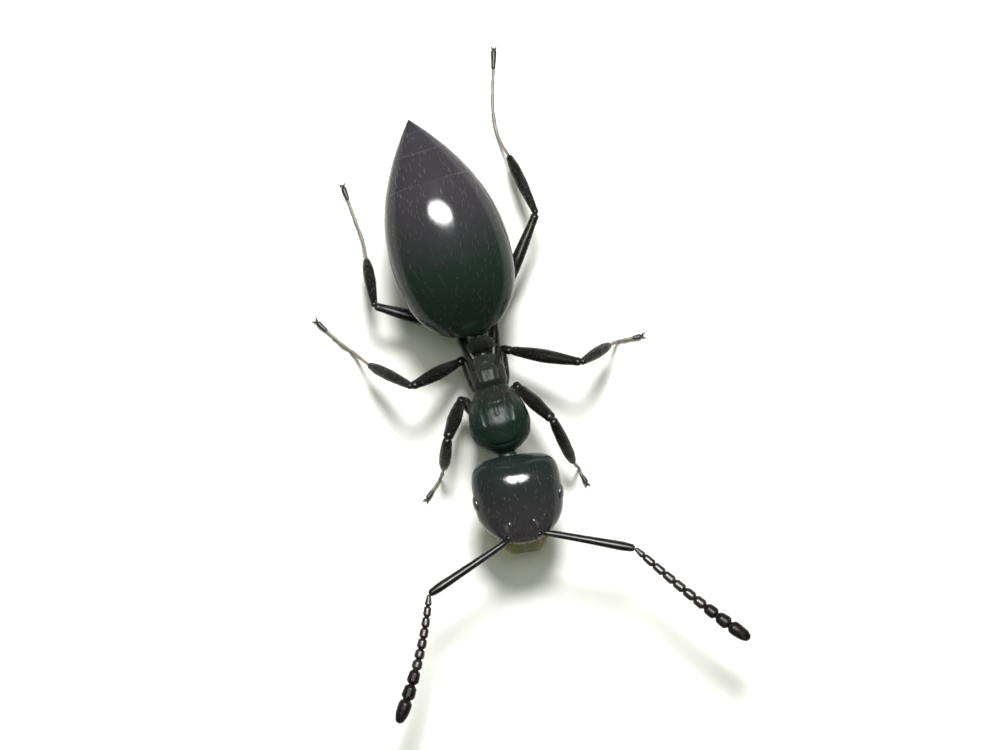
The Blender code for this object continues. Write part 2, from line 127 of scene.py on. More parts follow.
def plateSurface(rows, around, along, squareness=2.08, cap=0.07, bulge=0.02):
    # a body plate through rows of place along y, height, half width, half heights above and below
    table = np.array(rows)

    def shape(turn, share):
        y = table[0, 0] + (table[-1, 0] - table[0, 0]) * np.clip((share - cap) / (1 - 2 * cap), 0, 1)
        height, width, top, under = (smoothCurve(table[:, 0], column, y, 0.09) for column in table.T[1:])
        close = np.minimum(1, np.minimum(share, 1 - share) / cap)
        grow = np.sin(close * math.pi / 2)
        y = y + bulge * np.cos(close * math.pi / 2) * np.sign(share - 0.5)
        x, z = sectionPoints(turn, width * grow, top * grow, under * grow, squareness)
        return np.column_stack((x, y, z + height))

    return wrapSurface(around, along, shape)


def smoothPath(points, count=120):
    # an even curve through points, turned a little at each of them
    points = [np.array(point, float) for point in points]
    points = [2 * points[0] - points[1]] + points + [2 * points[-1] - points[-2]]
    curve = []
    for before, start, end, after in zip(points, points[1:], points[2:], points[3:]):
        for share in np.linspace(0, 1, 24, endpoint=False):
            curve.append(0.5 * (2 * start + (end - before) * share
                                + (2 * before - 5 * start + 4 * end - after) * share ** 2
                                + (3 * start - before - 3 * end + after) * share ** 3))
    curve = np.array(curve + [points[-2]])
    length = np.concatenate(([0], np.cumsum(np.linalg.norm(np.diff(curve, axis=0), axis=1))))
    even = np.linspace(0, length[-1], count)
    return np.column_stack([np.interp(even, length, column) for column in curve.T]), length[-1]


def limb(points, profile, around=26, along=64, flatness=1.0, softness=0.05):
    # a closed limb along a path: profile gives shares of the length and half thicknesses
    path, length = smoothPath(points)
    shares = [row[0] for row in profile]
    radii = [row[1] for row in profile]
    tangents = np.gradient(path, axis=0)
    tangents /= np.linalg.norm(tangents, axis=1)[:, None]
    chord = np.abs(path[-1] - path[0])
    reference = np.eye(3)[2] if chord[2] < 0.85 * np.linalg.norm(chord) else np.eye(3)[1]
    sides = np.cross(tangents, reference)
    sides /= np.linalg.norm(sides, axis=1)[:, None]
    ups = np.cross(sides, tangents)

    def shape(turn, share):
        # rings crowd towards both ends, which are rounded off over nine tenths of their radius
        place = 0.45 * share + 0.55 * (0.5 - 0.5 * np.cos(math.pi * share))
        radius = smoothCurve(shares, radii, place, softness)
        start = np.clip(place * length / (0.9 * radii[0]), 0, 1)
        end = np.clip((1 - place) * length / (0.9 * radii[-1]), 0, 1)
        radius = radius * np.sqrt(1 - (1 - start) ** 2) * np.sqrt(1 - (1 - end) ** 2)
        spot = place * (len(path) - 1)
        at = [np.column_stack([np.interp(spot, np.arange(len(path)), column) for column in rows.T])
              for rows in (path, sides, ups)]
        return (at[0] + at[1] * (radius * np.cos(turn))[:, None]
                + at[2] * (radius * flatness * np.sin(turn))[:, None])

    return wrapSurface(around, along, shape)


def scaled(profile, radius):
    # a profile given in parts of a radius
    return [(share, radius * part) for share, part in profile]


def ringShell(centre, axis, radius, thickness, steps=28):
    # a round welt, such as the rim of a socket
    bm = bmesh.new()
    made = bmesh.ops.create_circle(bm, segments=10, radius=thickness)
    bmesh.ops.rotate(bm, verts=made["verts"], cent=(0, 0, 0), matrix=Matrix.Rotation(math.pi / 2, 3, "X"))
    bmesh.ops.translate(bm, verts=made["verts"], vec=(radius, 0, 0))
    bmesh.ops.spin(bm, geom=list(bm.verts) + list(bm.edges), cent=(0, 0, 0), axis=(0, 0, 1),
                   angle=2 * math.pi, steps=steps, use_merge=True)
    bmesh.ops.remove_doubles(bm, verts=bm.verts, dist=1e-6)
    turn = Vector((0, 0, 1)).rotation_difference(Vector(axis)).to_matrix().to_4x4()
    bmesh.ops.transform(bm, matrix=Matrix.Translation(centre) @ turn, verts=bm.verts)
    bmesh.ops.recalc_face_normals(bm, faces=bm.faces)
    return bm


def nearness(points, path, width):
    # 1 on a path, falling smoothly to 0 past its width
    best = np.full(len(points), np.inf)
    path = [np.array(point, float) for point in path]
    for start, end in zip(path, path[1:] or path):
        step = end - start
        share = np.clip(((points - start) @ step) / max(step @ step, 1e-12), 0, 1)
        best = np.minimum(best, np.linalg.norm(points - start - share[:, None] * step, axis=1))
    return np.exp(-(best / width) ** 2)


def sculpt(bm, strokes):
    # raises or sinks the skin along strokes: the face they lie on, a path in mm, width, height;
    # top and under strokes give x and y, side strokes y and z, front strokes x and z, and all are
    # the same left and right
    bm.normal_update()
    points = np.array([vert.co[:] for vert in bm.verts])
    normals = np.array([vert.normal[:] for vert in bm.verts])
    facing = {"top": normals[:, 2], "under": -normals[:, 2], "side": np.abs(normals[:, 0]),
              "front": -normals[:, 1]}
    planes = {"top": np.column_stack((np.abs(points[:, 0]), points[:, 1])),
              "side": points[:, 1:], "front": np.column_stack((np.abs(points[:, 0]), points[:, 2]))}
    planes["under"] = planes["top"]
    raised = np.zeros(len(points))
    for face, path, width, height in strokes:
        weight = np.clip((facing[face] - 0.1) / 0.4, 0, 1)
        raised += height * weight * nearness(planes[face], path, width)
    for vert, place in zip(bm.verts, points + normals * raised[:, None]):
        vert.co = place


def makePiece(name, shells, material, nodes):
    # joins shells, places them and hands the piece to the frame
    mesh = bpy.data.meshes.new(name)
    joined = bmesh.new()
    for number, shell in enumerate(shells):
        layer = shell.faces.layers.int.new("shell")
        for face in shell.faces:
            face[layer] = number
        shell.to_mesh(mesh)
        joined.from_mesh(mesh)
        shell.free()
    bmesh.ops.scale(joined, vec=(mm, mm, mm), verts=joined.verts)
    for face in joined.faces:
        face.smooth = True
    joined.to_mesh(mesh)
    joined.free()
    mesh.materials.append(material)
    piece = bpy.data.objects.new(name, mesh)
    bpy.context.scene.collection.objects.link(piece)
    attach(piece, "root")
    if nodes:
        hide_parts(*nodes)


# materials

def linear(code):
    # an sRGB hex colour as linear light
    values = [int(code[index:index + 2], 16) / 255 for index in (0, 2, 4)]
    return [value / 12.92 if value <= 0.04045 else ((value + 0.055) / 1.055) ** 2.4
            for value in values] + [1.0]


def addNode(tree, kind, inputs, **settings):
    node = tree.nodes.new(kind)
    for key, value in settings.items():
        setattr(node, key, value)
    for key, value in inputs.items():
        if isinstance(value, bpy.types.NodeSocket):
            tree.links.new(value, node.inputs[key])
        else:
            node.inputs[key].default_value = value
    return node


# what all the shell shares: size and range of its clouding, width of the net's lines as part of a cell,
# how far the streaks are drawn out along the body, how strongly it bends light, how rough its wax is
shellLook = {"cloudSize": 0.3125, "cloudRange": (0.3, 0.7), "netLine": 0.18, "streakStretch": 0.12,
             "ior": 1.36, "waxRoughness": 0.12}


def chitin(name, colours, tinge, rough, cell, cellDepth, streak, streakDepth, clearCoat=0.04, shine=0.5):
    # Insect shell: nearly black, smooth and waxy, with a net of fine cells and faint streaks.
    # colours are the two tones of its clouding, and tinge a third tone (on head and gaster a painted
    # reflection) with how much of it shows at shares of a piece's length; sizes and depths of cells and
    # streaks are in mm
    material = bpy.data.materials.new(name)
    material.use_nodes = True
    tree = material.node_tree
    shader = tree.nodes["Principled BSDF"]
    place = addNode(tree, "ShaderNodeTexCoord", {}).outputs["Object"]
    cloud = addNode(tree, "ShaderNodeTexNoise", {"Vector": place, "Detail": 4.0,
                                                  "Scale": 1000 / shellLook["cloudSize"]})
    tone = addNode(tree, "ShaderNodeMix", {"Factor": cloud.outputs["Fac"], "A": linear(colours[0]),
                                           "B": linear(colours[1])}, data_type="RGBA")
    along = addNode(tree, "ShaderNodeAttribute", {}, attribute_name="along")
    edge = addNode(tree, "ShaderNodeValToRGB", {"Fac": along.outputs["Fac"]})
    ramp = edge.color_ramp
    for spot, value in tinge[1:]:
        stop = ramp.elements.new(spot) if 0 < spot < 1 else ramp.elements[0 if spot == 0 else -1]
        stop.position = spot
        stop.color = (value, value, value, 1)
    blend = addNode(tree, "ShaderNodeMix", {"Factor": edge.outputs["Color"], "B": linear(tinge[0])},
                    data_type="RGBA")
    tree.links.new(tone.outputs[2], blend.inputs[6])
    tree.links.new(blend.outputs[2], shader.inputs["Base Color"])
    wear = addNode(tree, "ShaderNodeMapRange", {
        "Value": cloud.outputs["Fac"], "From Min": shellLook["cloudRange"][0],
        "From Max": shellLook["cloudRange"][1], "To Min": rough[0], "To Max": rough[1]})
    tree.links.new(wear.outputs["Result"], shader.inputs["Roughness"])
    cells = addNode(tree, "ShaderNodeTexVoronoi", {"Vector": place, "Scale": 1000 / cell},
                    feature="DISTANCE_TO_EDGE")
    net = addNode(tree, "ShaderNodeMapRange", {"Value": cells.outputs["Distance"],
                                               "From Max": shellLook["netLine"]})
    stretch = addNode(tree, "ShaderNodeMapping", {"Vector": place,
                                                  "Scale": (1.0, shellLook["streakStretch"], 1.0)})
    streaks = addNode(tree, "ShaderNodeTexNoise", {"Vector": stretch.outputs["Vector"],
                                                   "Scale": 1000 / streak, "Detail": 3.0})
    fine = addNode(tree, "ShaderNodeBump", {"Height": net.outputs["Result"], "Strength": 1.0,
                                            "Distance": cellDepth * mm})
    relief = addNode(tree, "ShaderNodeBump", {"Height": streaks.outputs["Fac"], "Strength": 1.0,
                                              "Distance": streakDepth * mm,
                                              "Normal": fine.outputs["Normal"]})
    tree.links.new(relief.outputs["Normal"], shader.inputs["Normal"])
    shader.inputs["IOR"].default_value = shellLook["ior"]
    shader.inputs["Specular IOR Level"].default_value = shine
    shader.inputs["Coat Weight"].default_value = clearCoat
    shader.inputs["Coat Roughness"].default_value = shellLook["waxRoughness"]
    return material


def atEnds(colour, start, end):
    # a tinge that shows only near both ends of a piece
    return colour, (0, start), (0.10, 0), (0.88, 0), (1, end)


# size and depth of the net's cells, spacing and depth of the streaks, in mm
skinRelief = {
    "head": (0.016, 0.00015, 0.018, 0.0004), "thorax": (0.014, 0.0006, 0.032, 0.0018),
    "gaster": (0.018, 0.00012, 0.030, 0.0002), "limb": (0.012, 0.0004, 0.014, 0.0008),
    "club": (0.012, 0.0005, 0.014, 0.0008), "foot": (0.012, 0.0004, 0.012, 0.0006),
    "mandible": (0.016, 0.0004, 0.016, 0.0014), "eye": (0.020, 0.0001, 0.020, 0.0001),
}
finishes = {
    # polished shell: one small bright highlight on a green-black ground, with a painted violet-grey
    # reflection that is strongest at the mouth and fades to the rear
    "head": chitin("black_head_chitin", ("192120", "232A29"),
                   ("413D41", (0, 1), (0.30, 0.9), (0.50, 0.5), (0.80, 0), (1, 0)),
                   (0.12, 0.18), *skinRelief["head"], shine=0.32),
    # netted shell: green-black, with highlights that are dull and spread as on leather
    "thorax": chitin("black_thorax_chitin", ("13201B", "1C2A25"),
                     ("21241F", (0, 0.3), (0.12, 0), (0.60, 0), (0.80, 0.9), (1, 1)),
                     (0.22, 0.30), *skinRelief["thorax"], clearCoat=0, shine=0.12),
    # the same net in a greyer shell, on the rear thorax and the waist
    "thoraxRear": chitin("grey_black_thorax_chitin", ("20231F", "2A2D29"), atEnds("1C1E1A", 0.5, 0.5),
                         (0.24, 0.32), *skinRelief["thorax"], clearCoat=0, shine=0.12),
    # the smoothest shell of all: lamps show in it as clear spots, and a painted violet-grey reflection covers
    # its rear part
    "gaster": chitin("black_gaster_chitin", ("1A2521", "212C28"),
                     ("38353A", (0, 0), (0.60, 0), (0.79, 0.8), (0.9, 1), (1, 1)),
                     (0.09, 0.13), *skinRelief["gaster"], shine=0.32),
    # the thin rear plates in the same polish, coloured violet-grey all over as a painted reflection, paler
    # still at each plate's rear end
    "gasterTip": chitin("painted_reflection_gaster_tip_chitin", ("302E33", "3A373D"), atEnds("45414D", 0, 1),
                        (0.09, 0.13), *skinRelief["gaster"], shine=0.32),
    # satin shell of the legs and scapes: nearly black, and browner at the joints, where it is thin
    "limb": chitin("dark_limb_chitin", ("0F0F0E", "191817"), atEnds("2B2320", 0.6, 0.6),
                   (0.22, 0.34), *skinRelief["limb"], shine=0.2),
    # thinner, reddish shell with a soft sheen
    "feeler": chitin("reddish_feeler_chitin", ("1A1112", "261919"), atEnds("3A2622", 0.5, 0.5),
                     (0.28, 0.40), *skinRelief["limb"]),
    # a felt of sense hairs takes nearly all the gloss from the dark red club
    "club": chitin("dark_red_club_chitin", ("12090D", "1B0E14"), atEnds("251218", 0.4, 0.3),
                   (0.34, 0.46), *skinRelief["club"], shine=0.15),
    # thin horn-like shell: pale brown, dull, and darker at both ends of a joint
    "tarsus": chitin("pale_brown_tarsus_chitin", ("6E665D", "877E73"), atEnds("453C35", 0.6, 0.8),
                     (0.32, 0.46), *skinRelief["foot"], shine=0.35),
    # thick hard shell of the last joint and its claws: dark brown, satin
    "claw": chitin("dark_claw_chitin", ("1A1513", "241E1B"), atEnds("3A322C", 0.4, 0.2),
                   (0.30, 0.42), *skinRelief["foot"], shine=0.3),
    # amber shell: light olive brown, darker at the root and along the teeth, with a silky grain
    "mandible": chitin("brown_mandible_chitin", ("958D68", "ADA57F"), atEnds("3A301F", 0.1, 0.4),
                       (0.22, 0.34), *skinRelief["mandible"]),
    # clear lenses over a black ground, under a wet-looking coat: they glint one by one
    "eye": chitin("black_eye_lens_chitin", ("141414", "1E1D1F"), atEnds("141414", 0, 0),
                  (0.12, 0.18), *skinRelief["eye"], clearCoat=0.4),
}
print("finishes ready:", len(finishes))


# Head: strokes raise or sink its ridges, grooves and pits. They give the face they lie on,
# their path, width and height, and lie in the head's own frame.
head = {
    "centre": (0.010, -1.230, 0.950), "length": 1.125, "width": 1.090, "top": 0.358, "under": 0.365,
    "yaw": -5, "nod": 20, "frontRoundness": 3.0, "rearRoundness": 2.8, "rearSquareness": 4.0,
    "frontNarrowing": 0.28, "narrowingPower": 2.2, "lowerFront": 0.22, "rearDent": 0.045,
    "squareness": 2.06, "around": 260, "along": 200,
    "socketPlace": (0.190, -0.400), "socketDepth": 0.012, "socketFacing": (0.45, -0.35, 0.8),
    "socketRim": (0.048, 0.012),
    "strokes": [
        ("top", [(0.150, -0.455), (0.172, -0.380), (0.168, -0.270), (0.150, -0.190)], 0.017, 0.026),
        ("top", [(0.205, -0.410), (0.235, -0.330), (0.245, -0.230)], 0.042, -0.030),
        ("top", [(0.0, -0.395), (0.060, -0.398), (0.120, -0.425)], 0.012, -0.013),
        ("top", [(0.0, -0.470), (0.090, -0.470)], 0.055, 0.016),
        ("top", [(0.0, -0.360), (0.0, -0.200), (0.0, 0.0)], 0.009, -0.005),
        ("front", [(0.0, -0.080), (0.110, -0.090), (0.170, -0.070)], 0.014, -0.016),
        ("front", [(0.0, -0.020), (0.120, -0.030)], 0.030, 0.010),
        ("front", [(0.0, -0.150), (0.130, -0.135), (0.200, -0.085)], 0.014, 0.012),
        ("front", [(0.0, -0.185), (0.130, -0.170)], 0.016, -0.012),
        ("side", [(-0.380, -0.030), (-0.260, 0.020), (-0.130, 0.030)], 0.020, -0.008),
        ("side", [(-0.350, -0.080), (-0.200, -0.060)], 0.018, 0.008),
        ("under", [(0.0, -0.300), (0.0, 0.0), (0.0, 0.340)], 0.010, -0.010),
        ("under", [(0.180, -0.360), (0.200, -0.100), (0.160, 0.150)], 0.020, 0.006),
        ("under", [(0.0, -0.360), (0.110, -0.340), (0.150, -0.240)], 0.040, -0.022),
        ("top", [(0.0, 0.000), (0.0, 0.400)], 0.300, 0.012),
        ("top", [(0.0, 0.150), (0.0, 0.480)], 0.032, -0.006),
        ("top", [(0.0, 0.400), (0.200, 0.400)], 0.120, -0.0105),
    ],
}
headFrame = (Matrix.Translation(bodyOrigin + Vector(head["centre"]))
             @ Matrix.Rotation(math.radians(head["yaw"]), 4, "Z")
             @ Matrix.Rotation(math.radians(head["nod"]), 4, "X"))


def headShape(turn, share):
    along = -np.cos(math.pi * share)
    front = np.maximum(-along, 0)
    roundness = np.where(front > 0, head["frontRoundness"], head["rearRoundness"])
    full = np.maximum(1 - np.abs(along) ** roundness, 0) ** (1 / roundness)
    wide = np.where(front > 0, full, np.maximum(1 - np.abs(along) ** head["rearSquareness"], 0)
                    ** (1 / head["rearSquareness"]))
    width = head["width"] / 2 * wide * (1 - head["frontNarrowing"] * front ** head["narrowingPower"])
    x, z = sectionPoints(turn, width, head["top"] * full,
                         head["under"] * full * (1 - head["lowerFront"] * front ** 2), head["squareness"])
    dent = head["rearDent"] * np.maximum(along, 0) ** 3 * (1 - (x / (head["width"] / 2)) ** 2)
    return np.column_stack((x, along * head["length"] / 2 - dent, z))


def skullHeight(x, y):
    # height of the head's upper skin at a place, in the head's own frame
    along = y / (head["length"] / 2)
    front = max(-along, 0)
    roundness = head["frontRoundness"] if front else head["rearRoundness"]
    full = (1 - abs(along) ** roundness) ** (1 / roundness)
    width = head["width"] / 2 * full * (1 - head["frontNarrowing"] * front ** head["narrowingPower"])
    return head["top"] * full * max(1 - (abs(x) / width) ** head["squareness"], 0) ** (1 / head["squareness"])


skull = wrapSurface(head["around"], head["along"], headShape)
sculpt(skull, head["strokes"])
sockets = {}
shells = [skull]
for side, sign in (("left", 1), ("right", -1)):
    x, y = head["socketPlace"]
    place = Vector((sign * x, y, skullHeight(x, y) - head["socketDepth"]))
    sockets[side] = headFrame @ place
    x, y, z = head["socketFacing"]
    shells.append(ringShell(place, (sign * x, y, z), *head["socketRim"]))
for shell in shells:
    bmesh.ops.transform(shell, matrix=headFrame, verts=shell.verts)
makePiece("head_shell", shells, finishes["head"], ["head"])
print("head shell done")

eyes = {"place": (0.496, 0.010, 0.050), "radii": (0.058, 0.125, 0.105), "slant": 8,
        "meanRadii": (0.105, 0.115), "lensDistance": 0.019, "lensRise": 0.0035, "domeWidth": 0.62,
        "rimRadii": (0.098, 0.118, 0.10), "rimThickness": 0.10, "rimOut": 0.014}
for side, sign in (("left", 1), ("right", -1)):
    bm = bmesh.new()
    bmesh.ops.create_icosphere(bm, subdivisions=6, radius=1)
    # in a hexagon pattern each lens takes 0.866 of the square of the distance to its neighbours
    longer, wider = eyes["meanRadii"]
    count = int(4 * math.pi * longer * wider / (0.866 * eyes["lensDistance"] ** 2))
    order = np.arange(count) + 0.5
    lift = np.arccos(1 - 2 * order / count)
    swirl = math.pi * (1 + 5 ** 0.5) * order
    centres = np.column_stack((np.cos(lift), np.sin(lift) * np.cos(swirl), np.sin(lift) * np.sin(swirl)))
    points = np.array([vert.co[:] for vert in bm.verts])
    near = np.min(np.linalg.norm(points[:, None] - centres[None], axis=2), axis=1)
    spread = eyes["domeWidth"] * math.sqrt(4 * math.pi / count)
    dome = eyes["lensRise"] * (1 - np.clip(near / spread, 0, 1) ** 2)
    points = points * (np.array(eyes["radii"]) + dome[:, None])
    x, y, z = eyes["place"]
    turned = (headFrame @ Matrix.Translation((sign * x, y, z))
              @ Matrix.Rotation(math.radians(-sign * eyes["slant"]), 4, "Z"))
    for vert, point in zip(bm.verts, points):
        vert.co = turned @ Vector((sign * point[0], point[1], point[2]))
    bmesh.ops.recalc_face_normals(bm, faces=bm.faces)
    rim = ringShell((0, 0, 0), (0, 0, 1), 1.0, eyes["rimThickness"], steps=48)
    size = Matrix.Diagonal((*eyes["rimRadii"], 1))
    stand = turned @ Matrix.Translation((sign * eyes["rimOut"], 0, 0)) @ Matrix.Rotation(math.pi / 2, 4, "Y")
    bmesh.ops.transform(rim, matrix=stand @ size, verts=rim.verts)
    bmesh.ops.recalc_face_normals(rim, faces=rim.faces)
    makePiece(f"eye_{side}_lenses", [bm], finishes["eye"], [f"eye_{side}"])
    makePiece(f"eye_{side}_rim", [rim], finishes["head"], [])
print("eyes done:", count, "lenses each")

jaws = {
    "root": (0.172, -0.470, -0.105), "length": 0.335, "width": 0.155, "thickness": 0.062,
    "inward": 0.085, "droop": 0.060, "rootRound": 0.12, "tipRound": 0.05, "narrowing": 0.45,
    "thinning": 0.62, "underside": 0.8, "squareness": 2.2, "gap": 0.003,
    "teeth": 4, "teethFrom": 0.38, "teethLength": 0.62, "toothDepth": 0.022,
    "striae": 15, "striaDepth": 0.0024,
}
for side, sign in (("left", 1), ("right", -1)):

    def jawShape(turn, share, sign=sign):
        full = np.sqrt(np.clip(1 - (1 - np.minimum(share / jaws["rootRound"], 1)) ** 2, 0, 1))
        full = full * np.clip((1 - share) / jaws["tipRound"], 0, 1) ** 0.5
        width = jaws["width"] * (1 - jaws["narrowing"] * share ** 2.5)
        thick = jaws["thickness"] * (1 - jaws["thinning"] * share)
        # the blades curve inwards but stay on their own sides of the middle line
        centre = np.maximum(jaws["root"][0] - jaws["inward"] * np.sin(math.pi / 2 * share),
                            width + jaws["gap"])
        groove = jaws["striaDepth"] * np.cos(turn * jaws["striae"]) * np.sin(math.pi * share)
        x, z = sectionPoints(turn, width * full + groove, thick * full + groove,
                             thick * jaws["underside"] * full + groove, jaws["squareness"])
        # teeth on the inner edge, half a tooth apart on the two sides so that they mesh
        saw = 1 - np.abs((share * jaws["teeth"] / jaws["teethLength"] + 0.25 * sign) % 1 * 2 - 1)
        inner = np.clip(-np.cos(turn), 0, 1) ** 6 * np.clip((share - jaws["teethFrom"]) / 0.06, 0, 1)
        x = x + inner * jaws["toothDepth"] * (0.5 - saw)
        return np.column_stack((sign * (centre + x), jaws["root"][1] - jaws["length"] * share,
                                jaws["root"][2] + z - jaws["droop"] * share))

    blade = wrapSurface(120, 90, jawShape)
    bmesh.ops.transform(blade, matrix=headFrame, verts=blade.verts)
    makePiece(f"mandible_{side}_blade", [blade], finishes["mandible"],
              [f"mandible_{side}"])

palps = {
    "upper": [(0.105, -0.360, -0.235), (0.120, -0.455, -0.262), (0.100, -0.540, -0.240)],
    "lower": [(0.045, -0.370, -0.240), (0.050, -0.450, -0.270), (0.040, -0.520, -0.262)],
    "joints": ((0.0, 0.36), (0.34, 0.70), (0.68, 1.0)), "profile": [(0, 0.011), (0.6, 0.015), (1, 0.010)],
}
shells = []
for row in ("upper", "lower"):
    for sign in (1, -1):
        curve, _ = smoothPath([headFrame @ Vector((sign * x, y, z)) for x, y, z in palps[row]])
        last = len(curve) - 1
        for start, end in palps["joints"]:
            part = curve[int(start * last):int(end * last) + 1:8]
            shells.append(limb(part, palps["profile"], 12, 14))
makePiece("mouth_palps", shells, finishes["feeler"], [])
print("mouthparts done")


# Feelers: profiles give half thicknesses at shares of a part's length, and those of the joints
# of funicle and club give parts of the joint's radius.
feeler = {
    "scape": [(0, 0.026), (0.04, 0.040), (0.08, 0.035), (0.16, 0.040), (0.5, 0.048), (0.88, 0.058),
              (1, 0.042)],
    "scapeRise": 0.045, "bulb": [(0, 0.030), (0.5, 0.036), (1, 0.026)],
    "pedicel": 0.15, "pedicelProfile": [(0, 0.020), (0.15, 0.026), (0.75, 0.042), (1, 0.034)],
    "funicleJoints": 6, "funicleRadius": (0.049, 0.066), "funicleTuck": 0.10,
    "funicleProfile": [(0, 0.86), (0.2, 0.92), (0.8, 1), (1, 0.95)],
    "clubJoints": (0.27, 0.29, 0.44), "clubRadius": (0.076, 0.084, 0.084), "clubTuck": 0.06,
    "clubProfile": [(0, 0.74), (0.25, 0.90), (0.8, 1), (1, 0.92)],
    "tipProfile": [(0, 0.84), (0.2, 0.97), (0.4, 1), (0.7, 0.88), (0.9, 0.62), (1, 0.36)],
    "funicleCore": [(0, 0.020), (1, 0.030)], "clubCore": [(0, 0.032), (1, 0.046)], "steps": 600,
}
for side in ("left", "right"):
    names = [f"antenna_{side}_{part}" for part in ("scape", "funicle", "club")]
    elbow = jointOf(names[0], names[1])
    bend = jointOf(names[1], names[2])
    tip = farEndOf(names[2], bend)
    root = farEndOf(names[0], elbow)
    socket = sockets[side]
    start = socket.lerp(root, 0.5) + Vector((0, 0, feeler["scapeRise"]))
    scapePath = [socket, start.lerp(elbow, 0.10), elbow]
    shells = [limb(scapePath, feeler["scape"], 30, 110)]
    shells.append(limb([socket - (start - socket) * 0.4, socket + (start - socket) * 0.3],
                       feeler["bulb"], 24, 24))
    makePiece(f"feeler_{side}_scape", shells, finishes["limb"], [names[0]])
    control = (bend - elbow * 0.16 - tip * 0.36) / 0.48  # the curve passes the bend at 0.6 of its way
    curve, length = smoothPath([elbow * (1 - t) ** 2 + control * 2 * t * (1 - t) + tip * t * t
                                for t in np.linspace(0, 1, 25)], feeler["steps"])
    last = feeler["steps"] - 1
    clubStart = np.argmin(np.linalg.norm(curve - np.array(bend), axis=1)) / last
    pedicelEnd = feeler["pedicel"] / length

    def partOf(start, end):
        # the piece of the feeler's line between two shares
        picked = np.linspace(start * last, end * last, 7)
        return [np.array([np.interp(spot, np.arange(last + 1), column) for column in curve.T])
                for spot in picked]

    shells = [limb(partOf(0, pedicelEnd), feeler["pedicelProfile"], 26, 34)]
    steps = np.linspace(pedicelEnd, clubStart, feeler["funicleJoints"] + 1)
    for index, (begin, end) in enumerate(zip(steps, steps[1:])):
        grow = index / (feeler["funicleJoints"] - 1)
        radius = feeler["funicleRadius"][0] * (1 - grow) + feeler["funicleRadius"][1] * grow
        tuck = feeler["funicleTuck"] * (end - begin)
        shells.append(limb(partOf(begin - tuck, end), scaled(feeler["funicleProfile"], radius), 26, 34))
    shells.append(limb(partOf(pedicelEnd * 0.5, clubStart), feeler["funicleCore"], 18, 60))
    makePiece(f"feeler_{side}_funicle", shells, finishes["feeler"], [names[1]])
    shells = []
    begin = clubStart
    for index, (share, radius) in enumerate(zip(feeler["clubJoints"], feeler["clubRadius"])):
        end = begin + share * (1 - clubStart)
        tuck = feeler["clubTuck"] * (end - begin)
        profile = scaled(feeler["clubProfile" if index < 2 else "tipProfile"], radius)
        shells.append(limb(partOf(begin - tuck, min(end, 1)), profile, 30, 44))
        begin = end
    shells.append(limb(partOf(clubStart - 0.02, clubStart + 0.7 * (1 - clubStart)),
                       feeler["clubCore"], 18, 50))
    makePiece(f"feeler_{side}_club", shells, finishes["club"], [names[2]])
print("feelers done")


# Thorax: rows give the place along the body, height, half width, half height above and below.
thorax = {
    "front": [(-0.665, 0.870, 0.105, 0.080, 0.080), (-0.605, 0.860, 0.225, 0.165, 0.148),
              (-0.500, 0.850, 0.342, 0.250, 0.222), (-0.300, 0.840, 0.385, 0.311, 0.272),
              (-0.100, 0.830, 0.345, 0.306, 0.296), (0.050, 0.810, 0.258, 0.246, 0.285),
              (0.150, 0.800, 0.205, 0.162, 0.258), (0.190, 0.795, 0.185, 0.140, 0.235)],
    "rear": [(0.140, 0.800, 0.180, 0.135, 0.235), (0.175, 0.800, 0.206, 0.160, 0.255),
             (0.240, 0.795, 0.219, 0.203, 0.251), (0.380, 0.780, 0.219, 0.188, 0.241),
             (0.480, 0.750, 0.192, 0.128, 0.207), (0.560, 0.710, 0.112, 0.068, 0.108)],
    "frontStrokes": [
        ("top", [(0.0, -0.560), (0.130, -0.545), (0.240, -0.480)], 0.016, -0.010),
        ("top", [(0.180, 0.040), (0.215, -0.120), (0.200, -0.300)], 0.022, 0.012),
        ("top", [(0.0, -0.180), (0.0, 0.080)], 0.018, 0.010),
        ("top", [(0.0, -0.050), (0.120, -0.030), (0.200, 0.020)], 0.014, -0.010),
        ("side", [(-0.420, 0.960), (-0.200, 0.760), (-0.060, 0.600)], 0.016, -0.016),
        ("side", [(-0.120, 0.880), (0.040, 0.760), (0.100, 0.620)], 0.016, -0.014),
        ("side", [(-0.320, 0.720), (-0.180, 0.640)], 0.050, 0.014),
        ("side", [(0.000, 0.680), (0.060, 0.640)], 0.045, 0.012),
        ("side", [(-0.060, 0.900), (0.060, 0.890)], 0.014, 0.010),
        ("under", [(0.0, -0.500), (0.0, 0.120)], 0.020, -0.012),
    ],
    "rearStrokes": [
        ("top", [(0.060, 0.220), (0.070, 0.360), (0.050, 0.440)], 0.010, 0.007),
        ("top", [(0.120, 0.240), (0.135, 0.380)], 0.010, 0.006),
        ("top", [(0.0, 0.200), (0.0, 0.330)], 0.010, 0.006),
        ("side", [(0.340, 0.800)], 0.022, 0.012),
        ("side", [(0.340, 0.800)], 0.010, -0.022),
        ("side", [(0.430, 0.630), (0.480, 0.620)], 0.045, 0.022),
        ("side", [(0.200, 0.720), (0.330, 0.690), (0.420, 0.720)], 0.014, -0.010),
        ("side", [(0.400, 0.860), (0.500, 0.780)], 0.020, 0.010),
    ],
    "cap": 0.06, "neck": [(0, -0.790, 0.900), (0, -0.640, 0.865)], "neckFlatness": 0.7,
    "neckProfile": [(0, 0.130), (0.5, 0.155), (1, 0.200)],
    "spineRoot": (0.128, 0.395, 0.855), "spineTip": (0.215, 0.650, 0.985), "spineBow": (0.006, 0.008),
    "spineProfile": [(0, 0.062), (0.18, 0.044), (0.4, 0.030), (0.8, 0.013), (1, 0.004)],
}


def bodyPlate(rows, around, along, strokes, **settings):
    bm = plateSurface(rows, around, along, **settings)
    sculpt(bm, strokes)
    bmesh.ops.translate(bm, verts=bm.verts, vec=bodyOrigin)
    return bm


